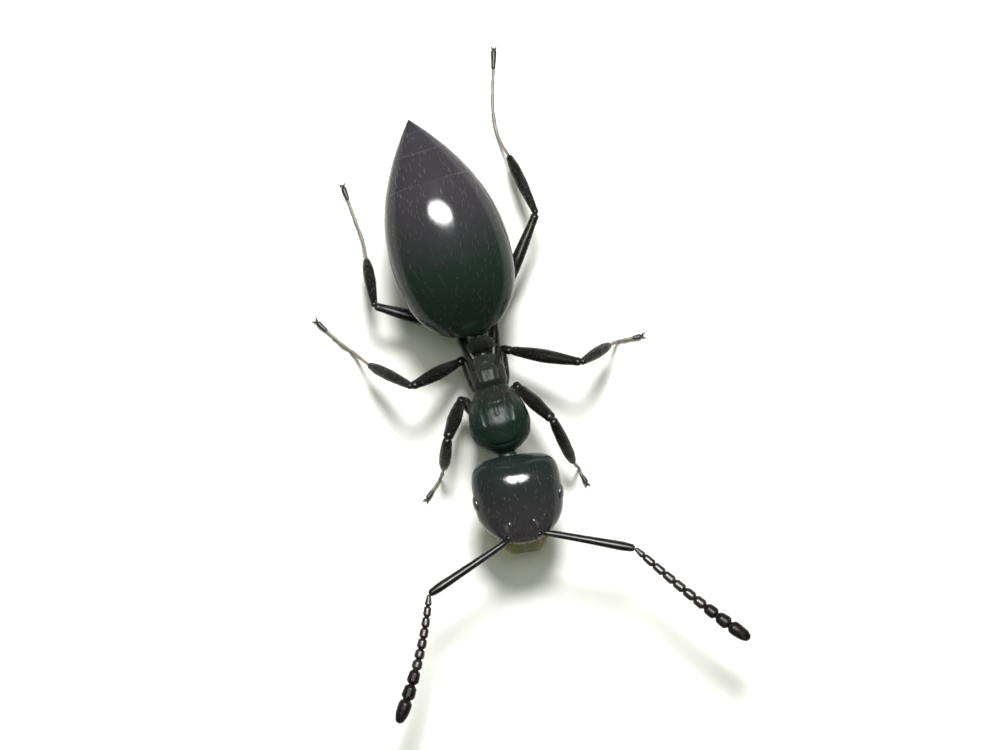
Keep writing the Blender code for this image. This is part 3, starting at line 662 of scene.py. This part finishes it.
plate = bodyPlate(thorax["front"], 170, 130, thorax["frontStrokes"], cap=thorax["cap"], bulge=0)
neck = limb([bodyOrigin + Vector(point) for point in thorax["neck"]], thorax["neckProfile"],
            40, 30, flatness=thorax["neckFlatness"])
makePiece("promesonotum_shell", [plate, neck], finishes["thorax"], ["promesonotum"])
shells = [bodyPlate(thorax["rear"], 140, 100, thorax["rearStrokes"], cap=thorax["cap"], bulge=0)]
for sign in (1, -1):
    root, tip = (bodyOrigin + Vector((sign * x, y, z))
                 for x, y, z in (thorax["spineRoot"], thorax["spineTip"]))
    out, up = thorax["spineBow"]
    shells.append(limb([root, root.lerp(tip, 0.5) + Vector((sign * out, 0, up)), tip],
                       thorax["spineProfile"], 24, 60))
makePiece("propodeum_shell", shells, finishes["thoraxRear"], ["propodeum"])

# Waist: its two knots are built as the thorax is. Stalks give a path and half thicknesses at its ends.
waist = {
    "cap": 0.09, "bulge": 0.010, "flatness": 0.8,
    "petiole": [(0.590, 0.730, 0.085, 0.055, 0.074), (0.635, 0.765, 0.150, 0.078, 0.086),
                (0.690, 0.805, 0.165, 0.088, 0.090), (0.740, 0.840, 0.150, 0.086, 0.086),
                (0.785, 0.875, 0.100, 0.066, 0.066)],
    "petioleStrokes": [("top", [(0.080, 0.650), (0.095, 0.720)], 0.014, 0.008),
                       ("side", [(0.640, 0.740)], 0.010, -0.012), ("under", [(0.0, 0.640)], 0.020, 0.022)],
    "postpetiole": [(0.812, 0.905, 0.100, 0.062, 0.062), (0.860, 0.960, 0.168, 0.094, 0.094),
                    (0.940, 1.015, 0.180, 0.098, 0.094), (1.015, 1.065, 0.120, 0.068, 0.070)],
    "postpetioleStrokes": [("top", [(0.0, 0.860), (0.0, 1.010)], 0.018, -0.022),
                           ("side", [(0.900, 0.970)], 0.010, -0.010)],
    "petioleStalks": [([(0, 0.520, 0.700), (0, 0.620, 0.750)], 0.066, 0.080)],
    "postpetioleStalks": [([(0, 0.760, 0.860), (0, 0.840, 0.925)], 0.060, 0.066),
                          ([(0, 0.970, 1.050), (-0.005, 1.050, 1.085)], 0.080, 0.085)],
}
for name in ("petiole", "postpetiole"):
    shells = [bodyPlate(waist[name], 90, 64, waist[name + "Strokes"],
                        cap=waist["cap"], bulge=waist["bulge"])]
    for path, begin, end in waist[name + "Stalks"]:
        shells.append(limb([bodyOrigin + Vector(point) for point in path],
                           [(0, begin), (1, end)], 30, 20, flatness=waist["flatness"]))
    makePiece(f"{name}_shell", shells, finishes["thoraxRear"], [name])
print("thorax and waist done")


# Gaster: four plates, each tucked under the rim of the one in front, on a line from front to tip.
gaster = {
    "front": (-0.030, 0.825, 1.000), "tip": (-0.215, 3.545, 1.210), "halfWidth": 0.738, "top": 0.570,
    "under": 0.515, "topAtFront": 0.22, "underAtFront": 0.55, "frontShare": 0.36, "squareness": 2.15,
    "widest": 0.38, "sideRoundness": 2.32, "topRoundness": 2.75, "sideTaper": 2.05, "topTaper": 2.20,
    "frontBend": -0.020, "sag": 0.06, "joints": (0.71, 0.85, 0.94), "tuck": 0.035, "tuckDepth": 0.022,
    "lip": 0.0045, "lipLength": 0.025, "cap": 0.05,
    "around": (190, 190, 130, 130), "along": (150, 70, 50, 50),
    "strokes": [
        ("side", [(0.25, -0.17), (1.0, -0.26), (1.9, -0.20), (2.75, -0.06)], 0.014, -0.014),
        ("top", [(0.0, 1.62)], 0.50, 0.043),
        ("top", [(0.0, 1.62), (0.30, 1.62)], 0.45, 0.010),
    ],
    "stingPlace": (0.95, 0.995), "sting": [(0, 0.030), (0.6, 0.016), (1, 0.005)],
}
gasterLine = Vector(gaster["tip"]) - Vector(gaster["front"])
gasterFrame = (Matrix.Translation(bodyOrigin + Vector(gaster["front"]))
               @ Vector((0, 1, 0)).rotation_difference(gasterLine).to_matrix().to_4x4())


def gasterSection(place):
    # half width and half heights at a share of the gaster's length
    ahead = np.clip((gaster["widest"] - place) / gaster["widest"], 0, 1)
    behind = np.clip((place - gaster["widest"]) / (1 - gaster["widest"]), 0, 1)
    full, high = (np.where(place < gaster["widest"],
                           (1 - ahead ** gaster[face + "Roundness"]) ** (1 / gaster[face + "Roundness"]),
                           1 - behind ** gaster[face + "Taper"]) for face in ("side", "top"))
    risen = 1 - (1 - np.clip(place / gaster["frontShare"], 0, 1)) ** 2
    top = gaster["top"] * high * (gaster["topAtFront"] + (1 - gaster["topAtFront"]) * risen)
    under = gaster["under"] * full * (gaster["underAtFront"] + (1 - gaster["underAtFront"]) * risen)
    return gaster["halfWidth"] * full, top, under


def gasterPlate(number):
    bounds = [0.0, *gaster["joints"], 1.0]
    start, end = bounds[number - 1], bounds[number]
    first = start - (gaster["tuck"] if number > 1 else -0.001)

    def shape(turn, share):
        cap = gaster["cap"]
        inner = np.clip((share - cap) / (1 - 2 * cap), 0, 1)
        if number == 1:
            inner = inner ** 1.6  # more rings where the front rounds off
        place = np.clip(first + (end - first) * inner, 0, 0.9995)
        width, top, under = gasterSection(place)
        # each plate starts tucked under the one in front and ends in a thin raised lip
        sunk = np.clip((place - start) / 0.02, -1, 0) * gaster["tuckDepth"] if number > 1 else 0
        rise = (gaster["lip"] * np.clip(1 - (end - place) / gaster["lipLength"], 0, 1) ** 2
                if number < 4 else 0)
        grow = np.sin(np.minimum(1, np.minimum(share, 1 - share) / cap) * math.pi / 2)
        x, z = sectionPoints(turn, (width + sunk + rise) * grow, (top + sunk + rise) * grow,
                             (under + sunk + rise) * grow, gaster["squareness"])
        sag = -gaster["sag"] * np.sin(math.pi * place)
        x = x + gaster["frontBend"] * (1 - np.clip(place / 0.5, 0, 1)) ** 1.5
        return np.column_stack((x, place * gasterLine.length, z + sag))

    return wrapSurface(gaster["around"][number - 1], gaster["along"][number - 1], shape)


for number in (1, 2, 3, 4):
    bm = gasterPlate(number)
    sculpt(bm, gaster["strokes"])
    bmesh.ops.transform(bm, matrix=gasterFrame, verts=bm.verts)
    shells = [bm]
    if number == 4:
        path = [gasterFrame @ Vector((0, gasterLine.length * place, 0)) for place in gaster["stingPlace"]]
        shells.append(limb(path, gaster["sting"], 14, 24))
    makePiece(f"gaster_tergite_{number}", shells, finishes["gaster" if number == 1 else "gasterTip"],
              [f"gaster_segment_{number}"])
print("gaster done")


# Legs: thicknesses are half ones, and profiles give them at shares of a part's length. The last
# rows say how far a leg's points lie from those of the solids, which are thicker than the real legs.
leg = {
    "coxa": {"fore": (0.075, 0.092, 0.070, 0.050), "mid": (0.060, 0.078, 0.062, 0.048),
             "hind": (0.064, 0.082, 0.064, 0.048)}, "coxaBow": (0.012, -0.010),
    "femur": {"fore": 0.090, "mid": 0.086, "hind": 0.078}, "femurBow": 0.020,
    "femurRoot": (0.034, 0.042), "rootSwell": {"fore": 1.6, "mid": 1.4, "hind": 1.2},
    "hingeAt": 0.14, "hinge": [(0, 0.040), (0.35, 0.056), (0.8, 0.052), (1, 0.040)],
    "knee": {"fore": 0.066, "mid": 0.054, "hind": 0.050},
    "tibia": {"fore": 0.076, "mid": 0.072, "hind": 0.072}, "tibiaBow": 0.012, "ankle": 0.038,
    "spurPlace": 0.030, "spurLength": 0.13, "spurBend": {"fore": 0.055, "mid": 0.030, "hind": 0.030},
    "spur": [(0, 0.010), (0.4, 0.009), (1, 0.003)],
    "tarsusShares": (0.0, 0.46, 0.62, 0.74, 0.83, 1.0), "tarsusRadius": (0.023, 0.019), "lastJoint": 0.033,
    "tarsusProfile": [(0, 0.62), (0.15, 0.74), (0.85, 1), (1, 0.9)], "tarsusCore": [(0, 0.019), (1, 0.015)],
    "heelHeight": 0.055, "toeHeight": 0.030, "lowest": 0.027, "steps": 300, "coreEnd": 260,
    "padLength": 0.030, "padDrop": 0.012, "padFlatness": 0.6, "pad": [(0, 0.016), (0.5, 0.020), (1, 0.014)],
    "clawLength": 0.060, "clawDrop": 0.022, "claw": [(0, 0.011), (0.5, 0.008), (1, 0.002)],
    "tuck": {"fore": 0.0, "mid": 0.095, "hind": 0.0},
    "rootShift": {"fore_left": (0, 0.045), "fore_right": (-0.040, 0.080), "mid_left": (0, 0.055)},
    "kneeShift": {"mid_left": (0, -0.030)}, "reach": {"hind_left": 0.07},
    "tarsusBow": {"hind_left": (-0.085, 0.0), "mid_right": (0.0, -0.030)},
}


def shiftOf(kind, name):
    # how far a leg's point lies from its place in the solids, in plan
    return Vector((*leg[kind].get(name[4:], (0, 0)), 0))


for place in ("fore", "mid", "hind"):
    for side, sign in (("left", 1), ("right", -1)):
        name = f"leg_{place}_{side}"
        trochanter = jointOf(f"{name}_coxa", f"{name}_femur")
        knee = jointOf(f"{name}_femur", f"{name}_tibia")
        ankle = jointOf(f"{name}_tibia", f"{name}_tarsus")
        hip = farEndOf(f"{name}_coxa", trochanter)
        trochanter.x -= sign * leg["tuck"][place]
        trochanter += shiftOf("rootShift", name)
        knee += shiftOf("kneeShift", name)
        toe = farEndOf(f"{name}_tarsus", ankle)
        sole = nodePoints(f"{name}_tarsus")
        sole = sole[sole[:, 2] < nearEnough["sole"]]  # the flat that stands on the floor
        away = np.linalg.norm(sole[:, :2] - np.array(ankle)[:2], axis=1)
        heel = sole[away < away.min() + nearEnough["heel"]].mean(0)
        toe += (toe - ankle).normalized() * leg["reach"].get(name[4:], 0)
        toe.z = leg["toeHeight"]

        root, thick, neck, end = leg["coxa"][place]
        out, up = leg["coxaBow"]
        shells = [limb([hip, hip.lerp(trochanter, 0.5) + Vector((sign * out, 0, up)), trochanter],
                       [(0, root), (0.3, thick), (0.75, neck), (1, end)], 40, 60)]
        makePiece(f"{name}_coxa_shell", shells, finishes["limb"], [f"{name}_coxa"])

        # the trochanter is a short ring of its own between coxa and femur
        swell, rootSwell, kneeRadius = (leg[key][place] for key in ("femur", "rootSwell", "knee"))
        hinge = trochanter.lerp(knee, leg["hingeAt"])
        middle = trochanter.lerp(knee, 0.5) + Vector((0, 0, leg["femurBow"]))
        start, end = leg["femurRoot"]
        profile = [(0, start * rootSwell), (0.08, end * rootSwell), (0.30, swell * 0.92), (0.50, swell),
                   (0.72, swell * 0.84), (0.90, kneeRadius), (1, kneeRadius)]
        shells = [limb([trochanter - (knee - trochanter) * 0.02, hinge], leg["hinge"], 26, 30),
                  limb([hinge - (knee - hinge) * 0.03, hinge.lerp(middle, 0.5), middle,
                        middle.lerp(knee, 0.55), knee], profile, 32, 90)]
        makePiece(f"{name}_femur_shell", shells, finishes["limb"], [f"{name}_femur"])

        swell = leg["tibia"][place]
        shin = (ankle - knee).normalized()
        middle = knee.lerp(ankle, 0.5) + Vector((0, 0, leg["tibiaBow"]))
        profile = [(0, kneeRadius * 0.78), (0.07, kneeRadius * 0.82), (0.18, kneeRadius), (0.52, swell),
                   (0.80, swell * 0.92), (1, leg["ankle"])]
        shells = [limb([knee - shin * 0.010, middle, ankle], profile, 28, 80)]
        spur = ankle - shin * leg["spurPlace"]
        down = Vector((0, 0, -leg["spurBend"][place]))
        shells.append(limb([spur, spur + shin * leg["spurLength"] * 0.5 + down,
                            spur + shin * leg["spurLength"] + down * 0.9], leg["spur"], 10, 20))
        makePiece(f"{name}_tibia_shell", shells, finishes["limb"], [f"{name}_tibia"])

        heel = Vector((heel[0], heel[1], leg["heelHeight"]))
        bow = shiftOf("tarsusBow", name)
        curve, _ = smoothPath([ankle, heel + bow * 0.6, heel.lerp(toe, 0.35) + bow, toe], leg["steps"])
        curve[:, 2] = np.maximum(curve[:, 2], leg["lowest"])
        shells = []
        shares, (thick, thin), last = leg["tarsusShares"], leg["tarsusRadius"], leg["steps"] - 1
        for index, (start, end) in enumerate(zip(shares, shares[1:])):
            picked = curve[int(start * last):int(end * last) + 1]
            part = [picked[int(spot)] for spot in np.linspace(0, len(picked) - 1, 5)]
            radius = leg["lastJoint"] if index == 4 else thick + (thin - thick) * index / 4
            shells.append(limb(part, scaled(leg["tarsusProfile"], radius), 20, 40 if index == 0 else 26))
        core = [curve[int(spot)] for spot in np.linspace(0, leg["coreEnd"], 12)]
        shells.append(limb(core, leg["tarsusCore"], 14, 90))  # joins the joints inside
        claws = [shells.pop(4)]  # the last joint is dark and goes with the claws
        forward = (toe - Vector(curve[-30])).normalized()
        across = Vector((-forward.y, forward.x, 0)).normalized()
        drop = Vector((0, 0, leg["padDrop"]))
        claws.append(limb([toe - forward * 0.01, toe + forward * leg["padLength"] - drop],
                          leg["pad"], 14, 14, flatness=leg["padFlatness"]))
        drop = Vector((0, 0, leg["clawDrop"]))
        for turn in (1, -1):
            claws.append(limb([toe, toe + (forward * 0.5 + across * turn * 0.42) * leg["clawLength"],
                               toe + (forward + across * turn * 0.50) * leg["clawLength"] - drop],
                              leg["claw"], 10, 20))
        makePiece(f"{name}_tarsus_shell", shells, finishes["tarsus"], [f"{name}_tarsus"])
        makePiece(f"{name}_claw_segment", claws, finishes["claw"], [])
print("legs done")


# Bristles of unpigmented shell: fine, pale grey-brown and glossy, so they only glint on the dark shell.
hair = {"tones": ("4F493D", "7C725E"), "spotsPerMm": 9, "roughness": 0.35, "ior": 1.55,
        "leanSpread": 0.16, "lengths": (0.7, 1.15), "lifts": (0.75, 1.25), "droop": 0.35, "rootDepth": 0.004,
        "floor": 0.002, "patch": 0.0030}
seta = bpy.data.materials.new("pale_seta_chitin")
seta.use_nodes = True
tree = seta.node_tree
place = addNode(tree, "ShaderNodeTexCoord", {}).outputs["Object"]
tone = addNode(tree, "ShaderNodeTexNoise", {"Vector": place, "Scale": hair["spotsPerMm"] / mm})
mix = addNode(tree, "ShaderNodeMix", {"Factor": tone.outputs["Fac"]}, data_type="RGBA")
mix.inputs[6].default_value, mix.inputs[7].default_value = (linear(code) for code in hair["tones"])
setaShader = tree.nodes["Principled BSDF"]
tree.links.new(mix.outputs[2], setaShader.inputs["Base Color"])
setaShader.inputs["Roughness"].default_value = hair["roughness"]
setaShader.inputs["IOR"].default_value = hair["ior"]

# The coats: skins are pieces with the shells of them that carry hairs. Then hairs for each square mm,
# length and half thickness in mm, rise for each mm of length, and the way they lean.
coats = {
    "head_setae": {"skins": [("head_shell", [0])], "density": 130, "length": 0.055, "thick": 0.0020,
                   "lift": 0.45, "lean": (0, -1, 0)},
    "thorax_setae": {"skins": [(f"{name}_shell", [0]) for name in
                               ("promesonotum", "propodeum", "petiole", "postpetiole")],
                     "density": 170, "length": 0.065, "thick": 0.0021, "lift": 0.7, "lean": (0, 1, 0)},
    "gaster_setae": {"skins": [(f"gaster_tergite_{number}", [0]) for number in (1, 2, 3, 4)],
                     "density": 110, "length": 0.075, "thick": 0.0020, "lift": 0.28, "lean": (0, 1, 0)},
    "leg_setae": {"skins": [], "density": 420, "length": 0.040, "thick": 0.0022, "lift": 0.5, "lean": None},
    "feeler_setae": {"skins": [], "density": 520, "length": 0.032, "thick": 0.0020, "lift": 0.55,
                     "lean": None},
}
for place in ("fore", "mid", "hind"):
    for side in ("left", "right"):
        name = f"leg_{place}_{side}"
        coats["leg_setae"]["skins"] += [(f"{name}_coxa_shell", [0]), (f"{name}_femur_shell", [1]),
                                        (f"{name}_tibia_shell", [0]), (f"{name}_tarsus_shell", [0, 1, 2, 3]),
                                        (f"{name}_claw_segment", [0])]
for side in ("left", "right"):
    coats["feeler_setae"]["skins"] += [(f"feeler_{side}_scape", [0]),
                                       (f"feeler_{side}_funicle", list(range(feeler["funicleJoints"] + 1))),
                                       (f"feeler_{side}_club", [0, 1, 2])]


def rootsOn(piece, shells, density, seed):
    # evenly scattered roots on some shells of a piece: places, normals, spots on the skin map,
    # the shell each stands on, and the way the piece runs
    mesh = piece.data
    mesh.calc_loop_triangles()
    count = len(mesh.loop_triangles)
    corners, loops, faces = (np.zeros(count * size, np.int32) for size in (3, 3, 1))
    mesh.loop_triangles.foreach_get("vertices", corners)
    mesh.loop_triangles.foreach_get("loops", loops)
    mesh.loop_triangles.foreach_get("polygon_index", faces)
    number = np.zeros(len(mesh.polygons), np.int32)
    mesh.attributes["shell"].data.foreach_get("value", number)
    shellOf = number[faces]
    keep = np.isin(shellOf, shells)
    corners, loops = corners.reshape(-1, 3)[keep], loops.reshape(-1, 3)[keep]
    places, normals = (np.zeros(len(mesh.vertices) * 3) for _ in (0, 1))
    mesh.vertices.foreach_get("co", places)
    mesh.vertices.foreach_get("normal", normals)
    spots = np.zeros(len(mesh.loops) * 2)
    mesh.uv_layers["skinMap"].data.foreach_get("uv", spots)
    along = np.zeros(len(mesh.vertices))
    mesh.attributes["along"].data.foreach_get("value", along)
    places, normals, spots = places.reshape(-1, 3) / mm, normals.reshape(-1, 3), spots.reshape(-1, 2)
    first, second, third = (places[corners[:, index]] for index in (0, 1, 2))
    area = np.linalg.norm(np.cross(second - first, third - first), axis=1) / 2
    total = np.cumsum(area)
    rng = np.random.default_rng(seed)
    amount = int(total[-1] * density)
    picked = np.searchsorted(total, (np.arange(amount) + rng.random(amount)) / amount * total[-1])
    share = np.sort(rng.random((amount, 2)), axis=1)
    weights = np.column_stack((share[:, 0], share[:, 1] - share[:, 0], 1 - share[:, 1]))[:, :, None]
    ends = [places[along > 0.9].mean(0), places[along < 0.1].mean(0)]
    return ((places[corners[picked]] * weights).sum(1), (normals[corners[picked]] * weights).sum(1),
            (spots[loops[picked]] * weights).sum(1), shellOf[keep][picked], ends[0] - ends[1])


def growCoat(name, coat, seed):
    # one bristle, bent and tapered, copied to every root
    bm = bmesh.new()
    bmesh.ops.create_cone(bm, cap_ends=True, segments=3, radius1=1, radius2=0.25, depth=1)
    bmesh.ops.translate(bm, verts=bm.verts, vec=(0, 0, 0.5))
    upright = [edge for edge in bm.edges if abs(edge.verts[0].co.z - edge.verts[1].co.z) > 0.5]
    bmesh.ops.subdivide_edges(bm, edges=upright, cuts=2, use_grid_fill=True)
    bmesh.ops.triangulate(bm, faces=bm.faces)
    bmesh.ops.recalc_face_normals(bm, faces=bm.faces)
    bm.verts.index_update()
    shaft = np.array([vert.co[:] for vert in bm.verts])
    faces = np.array([[vert.index for vert in face.verts] for face in bm.faces])
    bm.free()
    cells = math.ceil(math.sqrt(sum(len(shells) for _, shells in coat["skins"])))
    rng = np.random.default_rng(seed)
    allPoints, allSpots = [], []
    cell = 0
    for pieceName, shells in coat["skins"]:
        piece = bpy.data.objects[pieceName]
        roots, normals, spots, shellOf, chord = rootsOn(piece, shells, coat["density"], seed + cell)
        lean = np.array(coat["lean"] if coat["lean"] else chord, float)
        lean = lean / np.linalg.norm(lean) + rng.normal(0, hair["leanSpread"], (len(roots), 3))
        normals /= np.linalg.norm(normals, axis=1)[:, None]
        lean -= normals * (lean * normals).sum(1)[:, None]
        lean /= np.linalg.norm(lean, axis=1)[:, None] + 1e-9
        side = np.cross(normals, lean)
        size = coat["length"] * rng.uniform(*hair["lengths"], len(roots))
        lift = coat["lift"] * rng.uniform(*hair["lifts"], len(roots))
        height = shaft[None, :, 2] * size[:, None]
        rise = height * lift[:, None] * (1 - hair["droop"] * shaft[None, :, 2]) - hair["rootDepth"]
        run = height * np.sqrt(np.maximum(1 - lift ** 2, 0.1))[:, None]
        thin = coat["thick"] * (1 - hair["droop"] * shaft[None, :, 2])
        points = (roots[:, None] + normals[:, None] * (rise + shaft[None, :, 1] * thin)[:, :, None]
                  + lean[:, None] * run[:, :, None] + side[:, None] * (shaft[None, :, 0] * thin)[:, :, None])
        points[:, :, 2] = np.maximum(points[:, :, 2], hair["floor"])  # flat on the floor under the feet
        allPoints.append(points)
        for shell in shells:
            chosen = shellOf == shell
            corner = np.array((cell % cells, cell // cells)) / cells
            spots[chosen] = corner + (0.02 + 0.95 * spots[chosen]) / cells
            cell += 1
        allSpots.append(spots)
    points, spots = np.concatenate(allPoints), np.concatenate(allSpots)
    count, size = len(points), len(shaft)
    indices = (np.arange(count)[:, None, None] * size + faces[None]).reshape(-1, 3)
    mesh = bpy.data.meshes.new(name)
    mesh.from_pydata((points.reshape(-1, 3) * mm).tolist(), [], indices.tolist())
    patch = mesh.uv_layers.new(name="OFBake")  # gives each hair a small spot, where its root stands
    local = hair["patch"] * (np.column_stack((shaft[:, 0], shaft[:, 2])) * (0.5, 1.0) + (0.0, -0.5))
    uv = np.clip(spots[:, None] + local[None], 0.001, 0.999)
    patch.data.foreach_set("uv", uv[np.arange(count)[:, None, None], faces[None]].ravel())
    mesh.materials.append(seta)
    mesh.polygons.foreach_set("use_smooth", np.ones(len(mesh.polygons), bool))
    mesh.update()
    hairs = bpy.data.objects.new(name, mesh)
    bpy.context.scene.collection.objects.link(hairs)
    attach(hairs, "root")
    print(name, count, "hairs,", len(mesh.polygons), "faces")


for seed, (name, coat) in enumerate(coats.items()):
    growCoat(name, coat, 100 * seed + 7)


# Floor, lamps and camera: lamps in metres, watts and degrees from overhead, picture width in mm.
stage = {
    "floor": "F5F5F1", "floorRoughness": 0.9, "span": 0.30, "worldTone": "EFFFC4", "worldStrength": 0.078,
    "keyLean": 35, "keyAway": 0.060, "keySize": (0.0165, 0.0165), "keyPower": 0.0535,
    "glossLean": 12.2, "glossAway": 0.060, "glossSize": (0.036, 0.022), "glossPower": 0.235,
    "fillLean": 26, "fillAway": 0.11, "fillSize": (0.16, 0.16), "fillPower": 0.046, "fillTone": "FBFFF4",
    "lens": 135, "sensor": 36, "width": 12.2, "roll": -13.5, "aimHeight": 0.0009,
}
bm = bmesh.new()
bmesh.ops.create_grid(bm, x_segments=1, y_segments=1, size=stage["span"])
mesh = bpy.data.meshes.new("floor")
bm.to_mesh(mesh)
bm.free()
floor = bpy.data.objects.new("floor", mesh)
bpy.context.scene.collection.objects.link(floor)
# Uncoated white paper: a pale, slightly warm ground that scatters light evenly and has no gloss.
paper = bpy.data.materials.new("matt_white_paper")
paper.use_nodes = True
paperShader = paper.node_tree.nodes["Principled BSDF"]
paperShader.inputs["Base Color"].default_value = linear(stage["floor"])
paperShader.inputs["Roughness"].default_value = stage["floorRoughness"]
mesh.materials.append(paper)

world = bpy.data.worlds.new("studio")
bpy.context.scene.world = world
world.use_nodes = True
background = world.node_tree.nodes["Background"]
background.inputs["Color"].default_value = linear(stage["worldTone"])
background.inputs["Strength"].default_value = stage["worldStrength"]

roll = math.radians(stage["roll"])
imageUp = Vector((-math.sin(roll), math.cos(roll), 0))
modelLow, modelHigh = (Vector(corner) for corner in cadBounds)
aim = Vector(((modelLow.x + modelHigh.x) / 2, (modelLow.y + modelHigh.y) / 2, stage["aimHeight"]))


def addLight(name, lean, away, size, power, tone="FFFFFF", glossy=False, diffuse=True):
    # a soft light that leans from straight overhead towards the top of the view, in degrees
    light = bpy.data.lights.new(name, "AREA")
    light.shape = "ELLIPSE"
    light.size, light.size_y = size
    light.energy = power
    light.color = linear(tone)[:3]
    lamp = bpy.data.objects.new(name, light)
    lean = math.radians(lean)
    lamp.location = aim + (imageUp * math.sin(lean) + Vector((0, 0, math.cos(lean)))) * away
    lamp.rotation_euler = (Matrix.Rotation(roll, 3, "Z") @ Matrix.Rotation(-lean, 3, "X")).to_euler()
    lamp.visible_glossy = glossy
    lamp.visible_diffuse = diffuse
    bpy.context.scene.collection.objects.link(lamp)


# the key throws the shadows, the gloss lamp shows only in highlights, the fill softens the shadows
for kind, more in (("key", {}), ("gloss", {"glossy": True, "diffuse": False}),
                   ("fill", {"tone": stage["fillTone"]})):
    addLight(f"{kind}_light", *(stage[kind + part] for part in ("Lean", "Away", "Size", "Power")), **more)

lens = bpy.data.cameras.new("camera")
lens.lens = stage["lens"]
lens.sensor_width = stage["sensor"]
lens.clip_start = 0.0005
lens.clip_end = 5
camera = bpy.data.objects.new("camera", lens)
distance = stage["width"] * mm * stage["lens"] / stage["sensor"]
camera.location = aim + Vector((0, 0, distance))
camera.rotation_euler = (0, 0, roll)
bpy.context.scene.collection.objects.link(camera)
bpy.context.scene.camera = camera
bpy.context.scene.view_settings.view_transform = "Standard"
print("stage ready")

bpy.context.view_layer.update()
